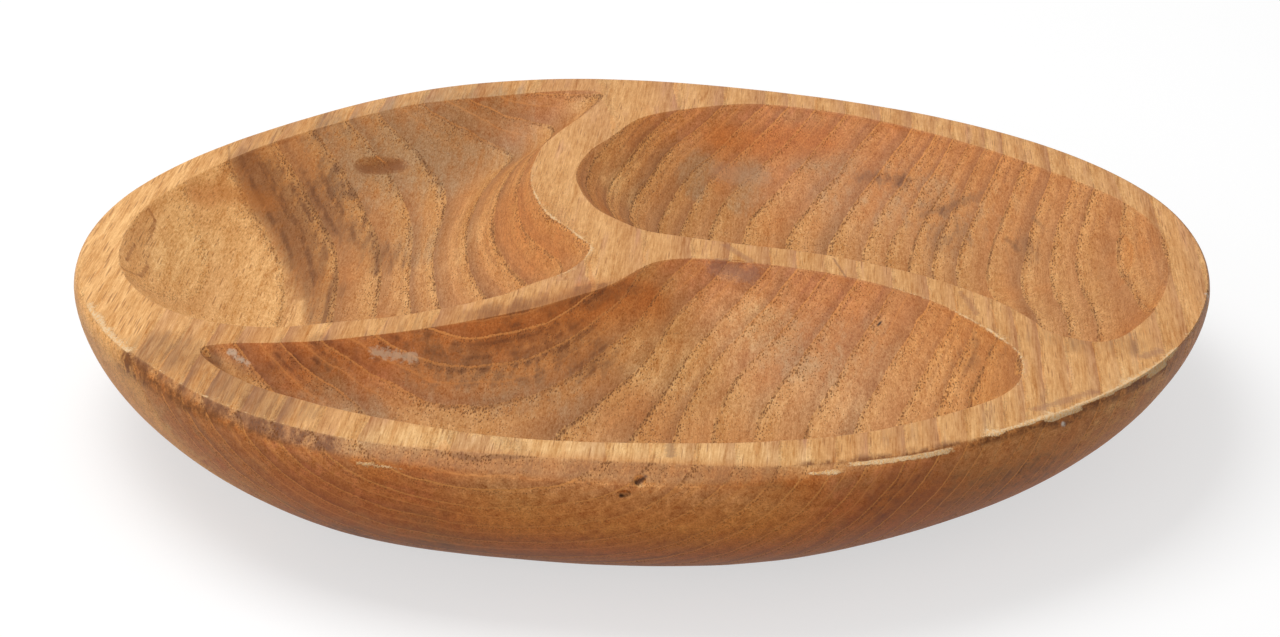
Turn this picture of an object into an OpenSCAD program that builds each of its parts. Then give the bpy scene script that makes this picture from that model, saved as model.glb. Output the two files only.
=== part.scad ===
// Round wooden tray carved from one board, with three comma-shaped pockets between curved dividers.
// Millimetres, +Z up. The origin is the middle of the flat foot. The back of the tray is towards +Y.

/* [Tray] */
// Radius of the rim's flat top, before the carver's swells and dips
tray_r = 150; // [135:1:170]
// Height from the foot to the rim
tray_h = 42; // [38:0.5:50]
// Thickness of the floor under the deepest part of a pocket
floor_t = 15; // [12:0.5:18]

/* [Rim] */
// Usual width of the flat rim outside the pockets
rim_w = 13; // [10:0.5:16]
// How far the eased outer edge stands proud of the rim's flat top
edge_run = 2.4; // [1:0.1:4]
// How far the eased outer edge reaches down from the rim's flat top
edge_drop = 3.6; // [2:0.1:6]

/* [Pockets] */
// How far in from a pocket's edge its wall runs before it meets the floor
wall_run = 48; // [38:1:56]

/* [Dividers] */
// Usual width of a divider's flat top
divider_w = 13; // [10:0.5:16]

/* [Foot] */
// Radius of the flat foot
foot_r = 100; // [85:1:110]

/* [Detail] */
// Sides around the outside
body_sides = 96; // [48:12:120]
// Steps down the outer wall
wall_steps = 8; // [6:1:10]
// Steps between two knots of a pocket's outline
outline_steps = 3; // [2:1:4]
// Steps from a pocket's edge down to its floor
pocket_steps = 8; // [6:1:9]

/* [Hidden] */
wood = "peru";
// Overrun of a cut past the face that it cuts
cut = 2;

pocket_depth = tray_h - floor_t;
// The board that the tray is cut from, as a share of tray_r, is wider than any swell
board_share = 2.4;
board_w = board_share * tray_r;
// The eased edge is a little fuller than a straight chamfer: its middle point, as shares of its run and drop
edge_mid_share = [0.72, 0.38];
// The usual fullness of the outer wall's curve: 1 is a straight slope, 2 a quarter of an ellipse
wall_fullness = 1.75;

// The carver's swells and dips of the rim: angle from +X, and the share of tray_r there
swell_shares = [
    [12, 1.014], [68, 0.970], [109, 1.035], [140, 0.992], [170, 1.002], [212, 0.994],
    [235, 1.009], [262, 0.975], [288, 1.005], [305, 0.999], [331, 1.015]
];
// The foot's own swells and dips: angle from +X, and the share of foot_r there
foot_shares = [[70, 1], [140, 1], [210, 1.05], [235, 1.045], [258, 1.005], [310, 0.965], [350, 0.94]];
// The front right is cut flatter: angle from +X, and the shares of edge_run and of wall_fullness there
edge_run_shares = [[20, 1], [290, 1], [335, 0.1]];
fullness_shares = [[25, 1], [305, 1], [350, 0.9]];
// The front edge is rubbed down to a slope: angle from +X, and how much further in it starts, as a share of edge_run
slope_shares = [[205, 0], [222, 0.6], [240, 1.5], [258, 2.1], [272, 2.2], [284, 1.2], [298, 0]];
// From this share on, the slope is full, and it then reaches lower by this share of edge_drop
full_slope_share = 1.5;
slope_drop_share = 0.6;

// Each divider's middle line from the hub outwards: x and y as shares of tray_r, then the share of divider_w
divider_shares = [
    [[-0.070, 0.100, 1.25], [-0.128, 0.200, 1.10], [-0.158, 0.310, 1.03], [-0.168, 0.420, 1.00],
     [-0.150, 0.550, 1.10], [-0.112, 0.650, 1.25]],
    [[-0.090, -0.150, 1.20], [-0.163, -0.223, 1.10], [-0.220, -0.275, 0.95], [-0.375, -0.363, 0.83],
     [-0.540, -0.418, 0.90]],
    [[0.140, -0.007, 1.08], [0.330, -0.070, 0.97], [0.460, -0.148, 0.95], [0.545, -0.228, 1.00],
     [0.590, -0.285, 1.07], [0.640, -0.375, 1.05]]
];

// Where each pocket's edge turns at the hub: x and y as shares of tray_r. Left, front, right.
hub_shares = [[-0.090, 0.000], [0.030, -0.068], [0.020, 0.088]];

// Each pocket's edge along the rim, from its pointed tail anticlockwise to its round heel: angle from +X, and the
// distance in from the rim's outer edge as a share of rim_w. Left, front, right.
rim_side_shares = [
    [[99, 2.90], [96, 1.85], [95, 1.25], [96, 0.94], [100, 0.92], [108, 1.05], [120, 0.80], [135, 0.72],
     [150, 0.72], [167, 0.65], [181, 0.70], [190, 0.85], [199, 1.25], [206, 1.85], [212, 2.80]],
    [[217, 2.50], [214, 1.68], [214, 1.25], [217, 1.07], [223, 1.08], [229, 1.20], [240, 1.35], [257, 1.10],
     [277, 1.28], [291, 1.20], [302, 1.15], [310, 1.20], [316, 1.55], [322, 2.35]],
    [[-29, 2.60], [-30, 1.95], [-29, 1.35], [-25, 1.07], [-17, 0.90], [-6, 0.76], [6, 0.62], [17, 0.75],
     [31, 1.12], [45, 1.12], [61, 0.90], [74, 1.00], [82, 1.75], [90, 2.85]]
];

// The line under each pocket's floor, from its tail end to its heel end: x and y as shares of tray_r
floor_line_shares = [
    [[-0.290, 0.770], [-0.600, 0.020]],
    [[-0.570, -0.560], [0.250, -0.500]],
    [[0.765, -0.290], [0.370, 0.430]]
];
// Share of the depth that is left at the tail end of the floor's line
tail_depth_share = 0.58;
// How full a pocket is: the higher, the steeper its walls
pocket_fullness = 1.9;
// Share of the depth that comes as an even dishing of the whole pocket and not from its wall
dish_share = 0.25;
// How closely the steps crowd towards a pocket's edge
step_crowding = 1.4;
// Steps along each floor line
floor_steps = 12;

function ease(u) = u * u * (3 - 2 * u);
function polar(r, a) = [r * cos(a), r * sin(a)];
function wrap(a) = a - 360 * floor(a / 360);

// Share of a radius at an angle, eased from each swell in a table to the next dip
function swell(shares, a) =
    let (
        b = wrap(a),
        n = len(shares),
        lead = [shares[n - 1][0] - 360, shares[n - 1][1]],
        trail = [shares[0][0] + 360, shares[0][1]],
        knots = concat([lead], shares, [trail]),
        i = len([for (knot = shares) if (knot[0] <= b) knot]),
        p = knots[i],
        q = knots[i + 1]
    )
    p[1] + (q[1] - p[1]) * ease((b - p[0]) / (q[0] - p[0]));

// A smooth closed curve through all the knots, with its tangents scaled to the gaps between them
function tangent(knots, i) =
    let (
        n = len(knots),
        before = knots[(i + n - 1) % n],
        after = knots[(i + 1) % n]
    )
    (after - before) / (norm(after - knots[i]) + norm(knots[i] - before));
function between(p, q, tp, tq, u) =
    p * (1 - ease(u)) + q * ease(u) + tp * u * (1 - u) * (1 - u) - tq * u * u * (1 - u);
function closed_curve(knots, steps) = [
    for (i = [0:len(knots) - 1])
        let (
            j = (i + 1) % len(knots),
            gap = norm(knots[j] - knots[i])
        )
        for (s = [0:steps - 1])
            between(knots[i], knots[j], tangent(knots, i) * gap, tangent(knots, j) * gap, s / steps)
];

// One edge of a divider: side 1 is on the left hand on the way out from the hub, side -1 on the right
function divider_edge(d, side) =
    let (
        line = divider_shares[d],
        n = len(line)
    )
    [
        for (i = [0:n - 1])
            let (
                p = [line[i][0], line[i][1]] * tray_r,
                a = line[max(i - 1, 0)],
                b = line[min(i + 1, n - 1)],
                way = [b[0] - a[0], b[1] - a[1]] / norm([b[0] - a[0], b[1] - a[1]])
            )
            p + side * [-way[1], way[0]] * line[i][2] * divider_w / 2
    ];
function reversed(list) = [for (i = [len(list) - 1:-1:0]) list[i]];

// A pocket's edge in the rim's plane. Its heel lies against one divider and its tail against the next.
function pocket_outline(k) =
    let (
        heel_divider = [1, 2, 0][k],
        tail_divider = [0, 1, 2][k],
        rim_side = [
            for (s = rim_side_shares[k])
                polar(tray_r * swell(swell_shares, s[0]) - rim_w * s[1], s[0])
        ]
    )
    closed_curve(
        concat(
            [hub_shares[k] * tray_r],
            divider_edge(tail_divider, 1),
            rim_side,
            reversed(divider_edge(heel_divider, -1))
        ),
        outline_steps
    );

// The point of a pocket's floor line that is nearest to p, and how far along the line it is
function along_floor(k, p) =
    let (
        tail = floor_line_shares[k][0] * tray_r,
        heel = floor_line_shares[k][1] * tray_r,
        way = heel - tail
    )
    min(1, max(0, (p - tail) * way / (way * way)));
function floor_point(k, u) =
    (floor_line_shares[k][0] * (1 - u) + floor_line_shares[k][1] * u) * tray_r;
function depth_at(u) = pocket_depth * (tail_depth_share + (1 - tail_depth_share) * ease(u));

// Share of the wall's fall that is reached at a distance in from the pocket's edge
function wall_fallen(distance) = 1 - pow(1 - min(1, distance / wall_run), pocket_fullness);

// One ring of a pocket, a share of the way in from its edge to its floor line
function pocket_ring(k, outline, inward) = [
    for (p = outline)
        let (
            u = along_floor(k, p),
            q = floor_point(k, u),
            spread = 1 - inward,
            place = q + (p - q) * spread,
            wall = wall_fallen(norm(p - q) * inward) / wall_fallen(norm(p - q)),
            dish = 1 - spread * spread
        )
        [place[0], place[1], tray_h - depth_at(u) * (wall * (1 - dish_share) + dish * dish_share)]
];

// A closed solid through rings of equal length, ordered anticlockwise from the bottom up. The lowest ring closes on
// a line of points, where low_index names the point that each of its corners meets, and the highest on one point.
module loft(rings, low_line, low_index, high_point) {
    n = len(rings[0]);
    top = (len(rings) - 1) * n;
    low = len(rings) * n;
    high = low + len(low_line);
    points = concat([for (ring = rings) for (p = ring) p], low_line, [high_point]);
    sides = [
        for (start = [0:n:top - n])
            for (i = [0:n - 1])
                let (
                    a = start + i,
                    b = start + (i + 1) % n
                )
                for (triangle = [[a, a + n, b], [b, a + n, b + n]])
                    triangle
    ];
    ends = [
        for (i = [0:n - 1])
            let (j = (i + 1) % n)
            for (triangle = [[low + low_index[i], i, j], [high, top + j, top + i]])
                triangle
    ];
    along = [
        for (i = [0:n - 1])
            let (
                j = (i + 1) % n,
                way = sign(low_index[j] - low_index[i])
            )
            if (way != 0)
                for (s = [low_index[i]:way:low_index[j] - way])
                    [low + s, j, low + s + way]
    ];
    polyhedron(points, concat(sides, ends, along));
}

function at_height(points, z) = [for (p = points) [p[0], p[1], z]];
function mean(points) = [for (p = points) 1] * points / len(points);

module pocket(k) {
    outline = pocket_outline(k);
    rings = concat(
        [
            for (i = [pocket_steps:-1:1])
                pocket_ring(k, outline, pow(i / (pocket_steps + 1), step_crowding))
        ],
        [
            at_height(outline, tray_h),
            at_height(outline, tray_h + cut)
        ]
    );
    floor_line = [
        for (i = [0:floor_steps])
            let (
                u = i / floor_steps,
                q = floor_point(k, u)
            )
            [q[0], q[1], tray_h - depth_at(u)]
    ];
    nearest = [for (p = outline) round(along_floor(k, p) * floor_steps)];
    middle = mean(outline);
    loft(rings, floor_line, nearest, [middle[0], middle[1], tray_h + cut]);
}

// How much further in the edge starts at an angle, as a share of edge_run, and how far it reaches down there
function slope_at(a) = swell(slope_shares, a);
function drop_at(a) = edge_drop * (1 + slope_drop_share * min(1, slope_at(a) / full_slope_share));

// One ring of the outside: the shares of the edge's run and of its drop there, its fall from the widest line as a
// share of the way to the foot, and how far it is moved up to pass the board's faces
function outside_ring(run, drop, fallen, up) = [
    for (i = [0:body_sides - 1])
        let (
            a = 360 * i / body_sides,
            foot = foot_r * swell(foot_shares, a),
            edge = edge_run * (run * swell(edge_run_shares, a) - (1 - run) * slope_at(a)),
            widest = tray_r * swell(swell_shares, a) + edge,
            fullness = wall_fullness * swell(fullness_shares, a),
            out = pow(1 - pow(fallen, fullness), 1 / fullness),
            p = polar(foot + (widest - foot) * out, a)
        )
        [p[0], p[1], (tray_h - drop_at(a) * drop) * (1 - fallen) + up]
];

module outside() {
    rings = concat(
        [outside_ring(1, 1, 1, -cut)],
        [
            for (i = [wall_steps:-1:0])
                outside_ring(1, 1, pow(sin(90 * i / wall_steps), 2 / wall_fullness), 0)
        ],
        [
            outside_ring(edge_mid_share[0], edge_mid_share[1], 0, 0),
            outside_ring(0, 0, 0, 0),
            outside_ring(0, 0, 0, cut)
        ]
    );
    loft(rings, [[0, 0, -cut]], [for (p = rings[0]) 0], [0, 0, tray_h + cut]);
}

module tray_body() {
    color(wood)
        difference() {
            intersection() {
                outside();
                // The board that the tray is carved from keeps its flat faces at the rim and the foot
                translate([-board_w / 2, -board_w / 2, 0])
                    cube([board_w, board_w, tray_h]);
            }
            for (k = [0:len(hub_shares) - 1])
                pocket(k);
        }
}

tray_body();
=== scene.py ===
"""Builds the looks of a round wooden tray, carved from one teak board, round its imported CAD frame.

All the sizes and tables are in millimetres, or in shares of the tray's own sizes, as the CAD part has them.
"""

import logging
import math
from dataclasses import dataclass, field, replace
from enum import Enum
from typing import Callable, Sequence

import bmesh
import bpy
import numpy as np
from mathutils import Matrix, Vector, kdtree, noise


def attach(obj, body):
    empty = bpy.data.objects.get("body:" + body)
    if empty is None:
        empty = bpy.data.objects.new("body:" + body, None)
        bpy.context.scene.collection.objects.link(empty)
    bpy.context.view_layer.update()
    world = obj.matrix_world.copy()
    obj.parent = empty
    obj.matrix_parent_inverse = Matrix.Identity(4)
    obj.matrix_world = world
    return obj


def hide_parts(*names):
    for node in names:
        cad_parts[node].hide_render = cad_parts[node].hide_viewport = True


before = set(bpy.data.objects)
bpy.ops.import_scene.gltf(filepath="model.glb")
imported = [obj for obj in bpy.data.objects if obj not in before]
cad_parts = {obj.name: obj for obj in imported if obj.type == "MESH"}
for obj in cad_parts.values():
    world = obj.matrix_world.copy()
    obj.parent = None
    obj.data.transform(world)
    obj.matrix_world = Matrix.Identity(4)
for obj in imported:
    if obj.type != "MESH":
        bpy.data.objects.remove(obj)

MM = 0.001
log = logging.getLogger("tray")

Pair = tuple[float, float]
Table = Sequence[Pair]
Rgb = tuple[float, float, float]
Rgba = tuple[float, float, float, float]
Point = tuple[float, float, float]
# a stretch of the outer edge: angles from and to, distances outside the flat top from and to, and a strength
Band = tuple[float, float, float, float, float]


class Pocket(Enum):
    """The tray's three pockets, in the order of the CAD part's tables."""

    LEFT = 0
    FRONT = 1
    RIGHT = 2


class Side(Enum):
    """A divider's two edges, seen on the way out from the hub."""

    LEFT_HAND = 1
    RIGHT_HAND = -1


# ---------------------------------------------------------------------------------------------------- drawing helpers


def ease(share: float) -> float:
    """Returns a share from 0 to 1 with a soft start and a soft end."""
    return share * share * (3 - 2 * share)


def polar(radius: float, degrees: float) -> Vector:
    """Returns the point in plan at a radius and an angle from +X."""
    turn = math.radians(degrees)
    return Vector((radius * math.cos(turn), radius * math.sin(turn)))


def swell(shares: Table, degrees: float) -> float:
    """Reads a table of swells and dips round the tray.

    Args:
        shares: Pairs of an angle from +X and a share, in the order of their angles.
        degrees: The angle to read at.

    Returns:
        The share there, eased from each knot of the table to the next.
    """
    turn = degrees % 360
    knots = [(shares[-1][0] - 360, shares[-1][1]), *shares, (shares[0][0] + 360, shares[0][1])]
    for (a, p), (b, q) in zip(knots, knots[1:]):
        if a <= turn <= b:
            return p + (q - p) * ease((turn - a) / (b - a))
    return shares[0][1]


def closed_curve(knots: Sequence[Vector], steps: int) -> list[Vector]:
    """Draws a smooth closed curve through knots in plan.

    Args:
        knots: The knots, in order.
        steps: How many points each gap between two knots gives.

    Returns:
        The curve's points.
    """
    count = len(knots)
    gaps = [(knots[(i + 1) % count] - knots[i]).length for i in range(count)]
    tangents = [(knots[(i + 1) % count] - knots[i - 1]) / (gaps[i] + gaps[i - 1]) for i in range(count)]
    points = []
    for i, start in enumerate(knots):
        end = knots[(i + 1) % count]
        lead, trail = tangents[i] * gaps[i], tangents[(i + 1) % count] * gaps[i]
        for step in range(steps):
            u = step / steps
            points.append(start * (1 - ease(u)) + end * ease(u) + lead * u * (1 - u) ** 2 - trail * u * u * (1 - u))
    return points


def evenly(points: Sequence[Vector], count: int) -> list[Vector]:
    """Spaces points evenly along a closed line.

    Args:
        points: The line's points.
        count: How many points to space along it.

    Returns:
        The new points, from the line's first one on.
    """
    lengths = [0.0]
    ring = [*points, points[0]]
    for a, b in zip(ring, ring[1:]):
        lengths.append(lengths[-1] + (b - a).length)
    spaced, at = [], 0
    for i in range(count):
        want = lengths[-1] * i / count
        while lengths[at + 1] < want:
            at += 1
        span = lengths[at + 1] - lengths[at]
        spaced.append(ring[at].lerp(ring[at + 1], (want - lengths[at]) / span))
    return spaced


def wander(place: Vector, grain: float, seed: float = 0.0) -> float:
    """Returns smooth noise from about -1 to 1 at a place, with the given grain in millimetres."""
    return noise.noise(Vector((place.x / grain + seed, place.y / grain - seed, place.z / grain + 2.7 * seed)))


def deselect() -> None:
    """Leaves object mode with nothing selected."""
    if bpy.context.object and bpy.context.object.mode != "OBJECT":
        bpy.ops.object.mode_set(mode="OBJECT")
    bpy.ops.object.select_all(action="DESELECT")


def take(piece: bpy.types.Object) -> None:
    """Makes a piece the only one that is selected, and the active one.

    Args:
        piece: The piece.
    """
    deselect()
    piece.select_set(True)
    bpy.context.view_layer.objects.active = piece


def apply_modifier(piece: bpy.types.Object, kind: str, **settings: object) -> None:
    """Adds a modifier to a piece, sets it and applies it.

    Args:
        piece: The piece that it works on.
        kind: The modifier's type.
        **settings: Its settings by name.
    """
    take(piece)
    modifier = piece.modifiers.new(kind.title(), kind)
    for name, value in settings.items():
        setattr(modifier, name, value)
    bpy.ops.object.modifier_apply(modifier=modifier.name)


def drawn_tube(name: str, sides: int, rings: int) -> bpy.types.Object:
    """Draws a plain upright tube down from a circle, closed at both ends.

    Ring 0 lies at height 0 and each further ring one unit lower, so that a vertex's place tells its side and its ring.

    Args:
        name: The new object's name.
        sides: Vertices in each ring.
        rings: How many rings there are.

    Returns:
        The tube, in object mode.
    """
    deselect()
    bpy.ops.mesh.primitive_circle_add(vertices=sides, radius=1.0, fill_type="NGON")
    tube = bpy.context.object
    tube.name = tube.data.name = name
    bpy.ops.object.mode_set(mode="EDIT")
    bpy.ops.mesh.select_all(action="SELECT")
    bpy.ops.mesh.delete(type="ONLY_FACE")
    bpy.ops.mesh.select_all(action="SELECT")
    bpy.ops.mesh.edge_face_add()
    for _ in range(rings - 1):
        bpy.ops.mesh.extrude_region_move(TRANSFORM_OT_translate={"value": (0, 0, -1)})
    bpy.ops.object.mode_set(mode="OBJECT")
    return tube


def shape_tube(tube: bpy.types.Object, places: np.ndarray, weld: float) -> None:
    """Moves each vertex of a drawn tube to its place, and joins the vertices that then meet.

    Args:
        tube: A tube that drawn_tube made, still the active object.
        places: The places in millimetres, by ring and side.
        weld: How near two vertices meet, in metres.
    """
    sides = places.shape[1]
    for vertex in tube.data.vertices:
        x, y, z = vertex.co
        side = round(math.atan2(y, x) / math.tau * sides) % sides
        vertex.co = Vector(places[round(-z), side]) * MM
    tube.data.update()
    bpy.ops.object.mode_set(mode="EDIT")
    bpy.ops.mesh.select_all(action="SELECT")
    bpy.ops.mesh.remove_doubles(threshold=weld)
    bpy.ops.mesh.normals_make_consistent(inside=False)
    bpy.ops.object.mode_set(mode="OBJECT")


def select_where(test: Callable[[Vector, Vector], bool]) -> int:
    """Selects the faces of the mesh in edit mode whose middle and normal pass a test.

    Args:
        test: Takes a face's middle in millimetres and its normal.

    Returns:
        How many faces are selected.
    """
    mesh = bmesh.from_edit_mesh(bpy.context.object.data)
    count = 0
    for face in mesh.faces:
        hit = test(face.calc_center_median() / MM, face.normal)
        face.select_set(hit)
        count += hit
    mesh.select_flush_mode()
    bmesh.update_edit_mesh(bpy.context.object.data)
    return count


# ------------------------------------------------------------------------------------------------------ the tray's form


@dataclass(frozen=True)
class TraySizes:
    """The tray's main sizes and shares of them, as the CAD part has them."""

    rim_radius: float = 150.0
    height: float = 42.0
    floor: float = 15.0
    rim_width: float = 13.0
    edge_run: float = 2.4
    edge_drop: float = 3.6
    wall_run: float = 48.0
    divider_width: float = 13.0
    foot_radius: float = 100.0
    wall_fullness: float = 1.75
    full_slope_share: float = 1.5
    slope_drop_share: float = 0.6
    tail_depth_share: float = 0.58
    pocket_fullness: float = 1.9
    dish_share: float = 0.25


@dataclass(frozen=True)
class CarvedOutside:
    """The turned and hand-trimmed outside, from the rim's top edge down to the foot."""

    sizes: TraySizes = TraySizes()
    # how many sides lie up to each angle from +X: they are closer together along the worn front right edge
    side_table: Table = ((0, 0), (268, 350), (350, 550), (360, 564))
    wall_rings: int = 40
    # angle from +X, and the share there of the rim's radius, the foot's radius, the edge's run and the wall's fullness
    rim_swells: Table = ((12, 1.014), (68, 0.970), (109, 1.035), (140, 0.992), (170, 1.002), (212, 0.994),
                         (235, 1.009), (262, 0.975), (288, 1.005), (305, 0.999), (331, 1.015))
    foot_swells: Table = ((70, 1), (140, 1), (210, 1.05), (235, 1.045), (258, 1.005), (310, 0.965), (350, 0.94))
    edge_swells: Table = ((20, 1), (290, 1), (335, 0.1))
    fullness_swells: Table = ((25, 1), (305, 1), (350, 0.9))
    # how much further in the edge starts, as shares of its run: the front is rubbed down to a wide slope
    slope_swells: Table = ((205, 0), (222, 0.6), (240, 1.5), (258, 2.1), (272, 2.2), (284, 1.2), (298, 0))
    # the eased edge from the flat top outwards: shares of its run, and of its drop where it is round and where it
    # slopes
    edge_profile: Sequence[Point] = (
        (0, 0, 0), (0.06, 0.004, 0.01), (0.12, 0.012, 0.035), (0.2, 0.028, 0.075), (0.3, 0.06, 0.125),
        (0.42, 0.11, 0.185), (0.56, 0.19, 0.26), (0.7, 0.31, 0.34), (0.82, 0.47, 0.43), (0.92, 0.69, 0.57),
        (0.98, 0.87, 0.76), (1, 1, 1))
    foot_rings: int = 6
    # how near to each other vertices are joined, in metres
    weld: float = 1e-6

    @property
    def sides(self) -> int:
        """How many sides the outside has in all."""
        return int(self.side_table[-1][1])

    def angle(self, side: int) -> float:
        """Reads the table of sides.

        Args:
            side: A side's number.

        Returns:
            The angle from +X of its vertex, in degrees.
        """
        for (a, i), (b, j) in zip(self.side_table, self.side_table[1:]):
            if side <= j:
                return a + (b - a) * (side - i) / (j - i)
        return 360.0

    def rim_radius(self, degrees: float) -> float:
        """Returns the radius of the rim's flat top at an angle."""
        return self.sizes.rim_radius * swell(self.rim_swells, degrees)

    def slope(self, degrees: float) -> float:
        """Returns how far inside the rim's line the flat top ends at an angle."""
        return self.sizes.edge_run * swell(self.slope_swells, degrees)

    def profile(self, degrees: float) -> list[Point]:
        """Draws the outside at one angle.

        Args:
            degrees: The angle from +X.

        Returns:
            Its places, from the rim's top edge down to the middle of the foot.
        """
        s = self.sizes
        rim = self.rim_radius(degrees)
        run = s.edge_run * swell(self.edge_swells, degrees)
        foot = s.foot_radius * swell(self.foot_swells, degrees)
        fullness = s.wall_fullness * swell(self.fullness_swells, degrees)
        slope = self.slope(degrees)
        sloping = min(1.0, slope / s.edge_run / s.full_slope_share)
        drop = s.edge_drop * (1 + s.slope_drop_share * sloping)
        widest_z = s.height - drop
        line = [(rim - slope + (run + slope) * share,
                 s.height - drop * (round_drop + (flat_drop - round_drop) * sloping))
                for share, round_drop, flat_drop in self.edge_profile]
        for step in range(1, self.wall_rings + 1):
            fallen = math.sin(math.pi / 2 * step / self.wall_rings) ** (2 / s.wall_fullness)
            out = max(0.0, 1 - fallen ** fullness) ** (1 / fullness)
            line.append((foot + (rim + run - foot) * out, widest_z * (1 - fallen)))
        line += [(foot * (1 - step / self.foot_rings), 0.0) for step in range(1, self.foot_rings + 1)]
        return [(*polar(radius, degrees), z) for radius, z in line]

    def build(self) -> bpy.types.Object:
        """Builds the uncut outside.

        Returns:
            The outside as one closed mesh.
        """
        places = np.array([self.profile(self.angle(side)) for side in range(self.sides)]).transpose(1, 0, 2)
        blank = drawn_tube("tray_carved", self.sides, len(places))
        shape_tube(blank, places, self.weld)
        return blank


@dataclass(frozen=True)
class CarvedPocket:
    """One comma-shaped pocket, as the solid of air that is cut from the tray."""

    pocket: Pocket
    outside: CarvedOutside = CarvedOutside()
    points: int = 300
    rings: int = 44
    ring_crowding: float = 1.5
    floor_steps: int = 60
    knot_steps: int = 14
    # how softly the edge is broken, and how far and over what length the carver's line wanders
    edge_softness: float = 0.14
    edge_wander: float = 0.22
    wander_length: float = 9.0
    # how far the air reaches above the rim, and rings of the broken edge: distances outside the pocket's line, and
    # the height by which all of them are raised, so that the outermost ring clears the flat top
    above: float = 3.0
    edge_steps: Sequence[float] = (0.36, 0.2, 0.1, 0.04)
    edge_lift: float = 0.012
    # how near to each other vertices are joined, in metres
    weld: float = 2e-5

    # each divider's middle line from the hub outwards: x and y as shares of the rim's radius, and a share of its width
    DIVIDERS = (
        ((-0.070, 0.100, 1.25), (-0.128, 0.200, 1.10), (-0.158, 0.310, 1.03), (-0.168, 0.420, 1.00),
         (-0.150, 0.550, 1.10), (-0.112, 0.650, 1.25)),
        ((-0.090, -0.150, 1.20), (-0.163, -0.223, 1.10), (-0.220, -0.275, 0.95), (-0.375, -0.363, 0.83),
         (-0.540, -0.418, 0.90)),
        ((0.140, -0.007, 1.08), (0.330, -0.070, 0.97), (0.460, -0.148, 0.95), (0.545, -0.228, 1.00),
         (0.590, -0.285, 1.07), (0.640, -0.375, 1.05)),
    )
    # where each pocket's edge passes the hub, as shares of the rim's radius
    HUB = ((-0.090, 0.000), (0.030, -0.068), (0.020, 0.088))
    # along the rim from the pointed tail to the round heel: angle, and rim widths in from the rim's edge
    RIM_SIDE = (
        ((99, 2.90), (96, 1.85), (95, 1.25), (96, 0.94), (100, 0.92), (108, 1.05), (120, 0.80), (135, 0.72),
         (150, 0.72), (167, 0.65), (181, 0.70), (190, 0.85), (199, 1.25), (206, 1.85), (212, 2.80)),
        ((217, 2.50), (214, 1.68), (214, 1.25), (217, 1.07), (223, 1.08), (229, 1.20), (240, 1.35), (257, 1.10),
         (277, 1.28), (291, 1.20), (302, 1.15), (310, 1.20), (316, 1.55), (322, 2.35)),
        ((-29, 2.60), (-30, 1.95), (-29, 1.35), (-25, 1.07), (-17, 0.90), (-6, 0.76), (6, 0.62), (17, 0.75),
         (31, 1.12), (45, 1.12), (61, 0.90), (74, 1.00), (82, 1.75), (90, 2.85)),
    )
    # the line under each pocket's floor, from the tail to the heel, as shares of the rim's radius
    FLOOR_LINES = (
        ((-0.290, 0.770), (-0.600, 0.020)),
        ((-0.570, -0.560), (0.250, -0.500)),
        ((0.765, -0.290), (0.370, 0.430)),
    )

    @property
    def sizes(self) -> TraySizes:
        """The tray's main sizes."""
        return self.outside.sizes

    def divider_edge(self, divider: int, side: Side) -> list[Vector]:
        """Draws one edge of a divider's flat top.

        Args:
            divider: The divider's number.
            side: Which edge.

        Returns:
            The edge's knots, from the hub outwards.
        """
        line = self.DIVIDERS[divider]
        edge = []
        for i, (x, y, width) in enumerate(line):
            a, b = line[max(i - 1, 0)], line[min(i + 1, len(line) - 1)]
            way = Vector((b[0] - a[0], b[1] - a[1])).normalized()
            out = Vector((-way.y, way.x)) * side.value * width * self.sizes.divider_width / 2
            edge.append(Vector((x, y)) * self.sizes.rim_radius + out)
        return edge

    def outline(self) -> list[Vector]:
        """Draws the pocket's edge in the rim's plane.

        Returns:
            Its points, from the hub by the tail and the heel and back.
        """
        k = self.pocket.value
        rim_side = [polar(self.outside.rim_radius(a) - self.sizes.rim_width * share, a)
                    for a, share in self.RIM_SIDE[k]]
        at_heel = self.divider_edge((k + 1) % len(Pocket), Side.RIGHT_HAND)
        knots = [Vector(self.HUB[k]) * self.sizes.rim_radius, *self.divider_edge(k, Side.LEFT_HAND), *rim_side,
                 *reversed(at_heel)]
        line = evenly(closed_curve(knots, self.knot_steps), self.points)
        return [p + n * self.edge_wander * wander(Vector((p.x, p.y, 0)), self.wander_length, k + 0.5)
                for p, n in zip(line, self.outwards(line))]

    @staticmethod
    def outwards(line: Sequence[Vector]) -> list[Vector]:
        """Works out which way is out of a closed line.

        Args:
            line: Its points in plan, anticlockwise.

        Returns:
            The outward normal at each point.
        """
        count = len(line)
        ways = [(line[(i + 1) % count] - line[i - 1]).normalized() for i in range(count)]
        return [Vector((way.y, -way.x)) for way in ways]

    def floor_line(self) -> tuple[np.ndarray, np.ndarray]:
        """Returns the tail end and the heel end of the line under the pocket's floor, in plan."""
        tail, heel = self.FLOOR_LINES[self.pocket.value]
        return np.array(tail) * self.sizes.rim_radius, np.array(heel) * self.sizes.rim_radius

    def along_floor(self, points: np.ndarray) -> np.ndarray:
        """Finds the nearest places of the floor's line.

        Args:
            points: Places in plan.

        Returns:
            For each, the share of the line's length at which its nearest point lies.
        """
        tail, heel = self.floor_line()
        way = heel - tail
        return np.clip((points - tail) @ way / (way @ way), 0, 1)

    def floor_point(self, u: np.ndarray) -> np.ndarray:
        """Returns points of the floor's line in plan, by their shares of the way along."""
        tail, heel = self.floor_line()
        return tail + (heel - tail) * np.asarray(u)[..., None]

    def wall_fallen(self, distance: np.ndarray) -> np.ndarray:
        """Returns the share of the wall's fall that is reached at a distance in from the edge."""
        return 1 - (1 - np.minimum(1, distance / self.sizes.wall_run)) ** self.sizes.pocket_fullness

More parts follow.
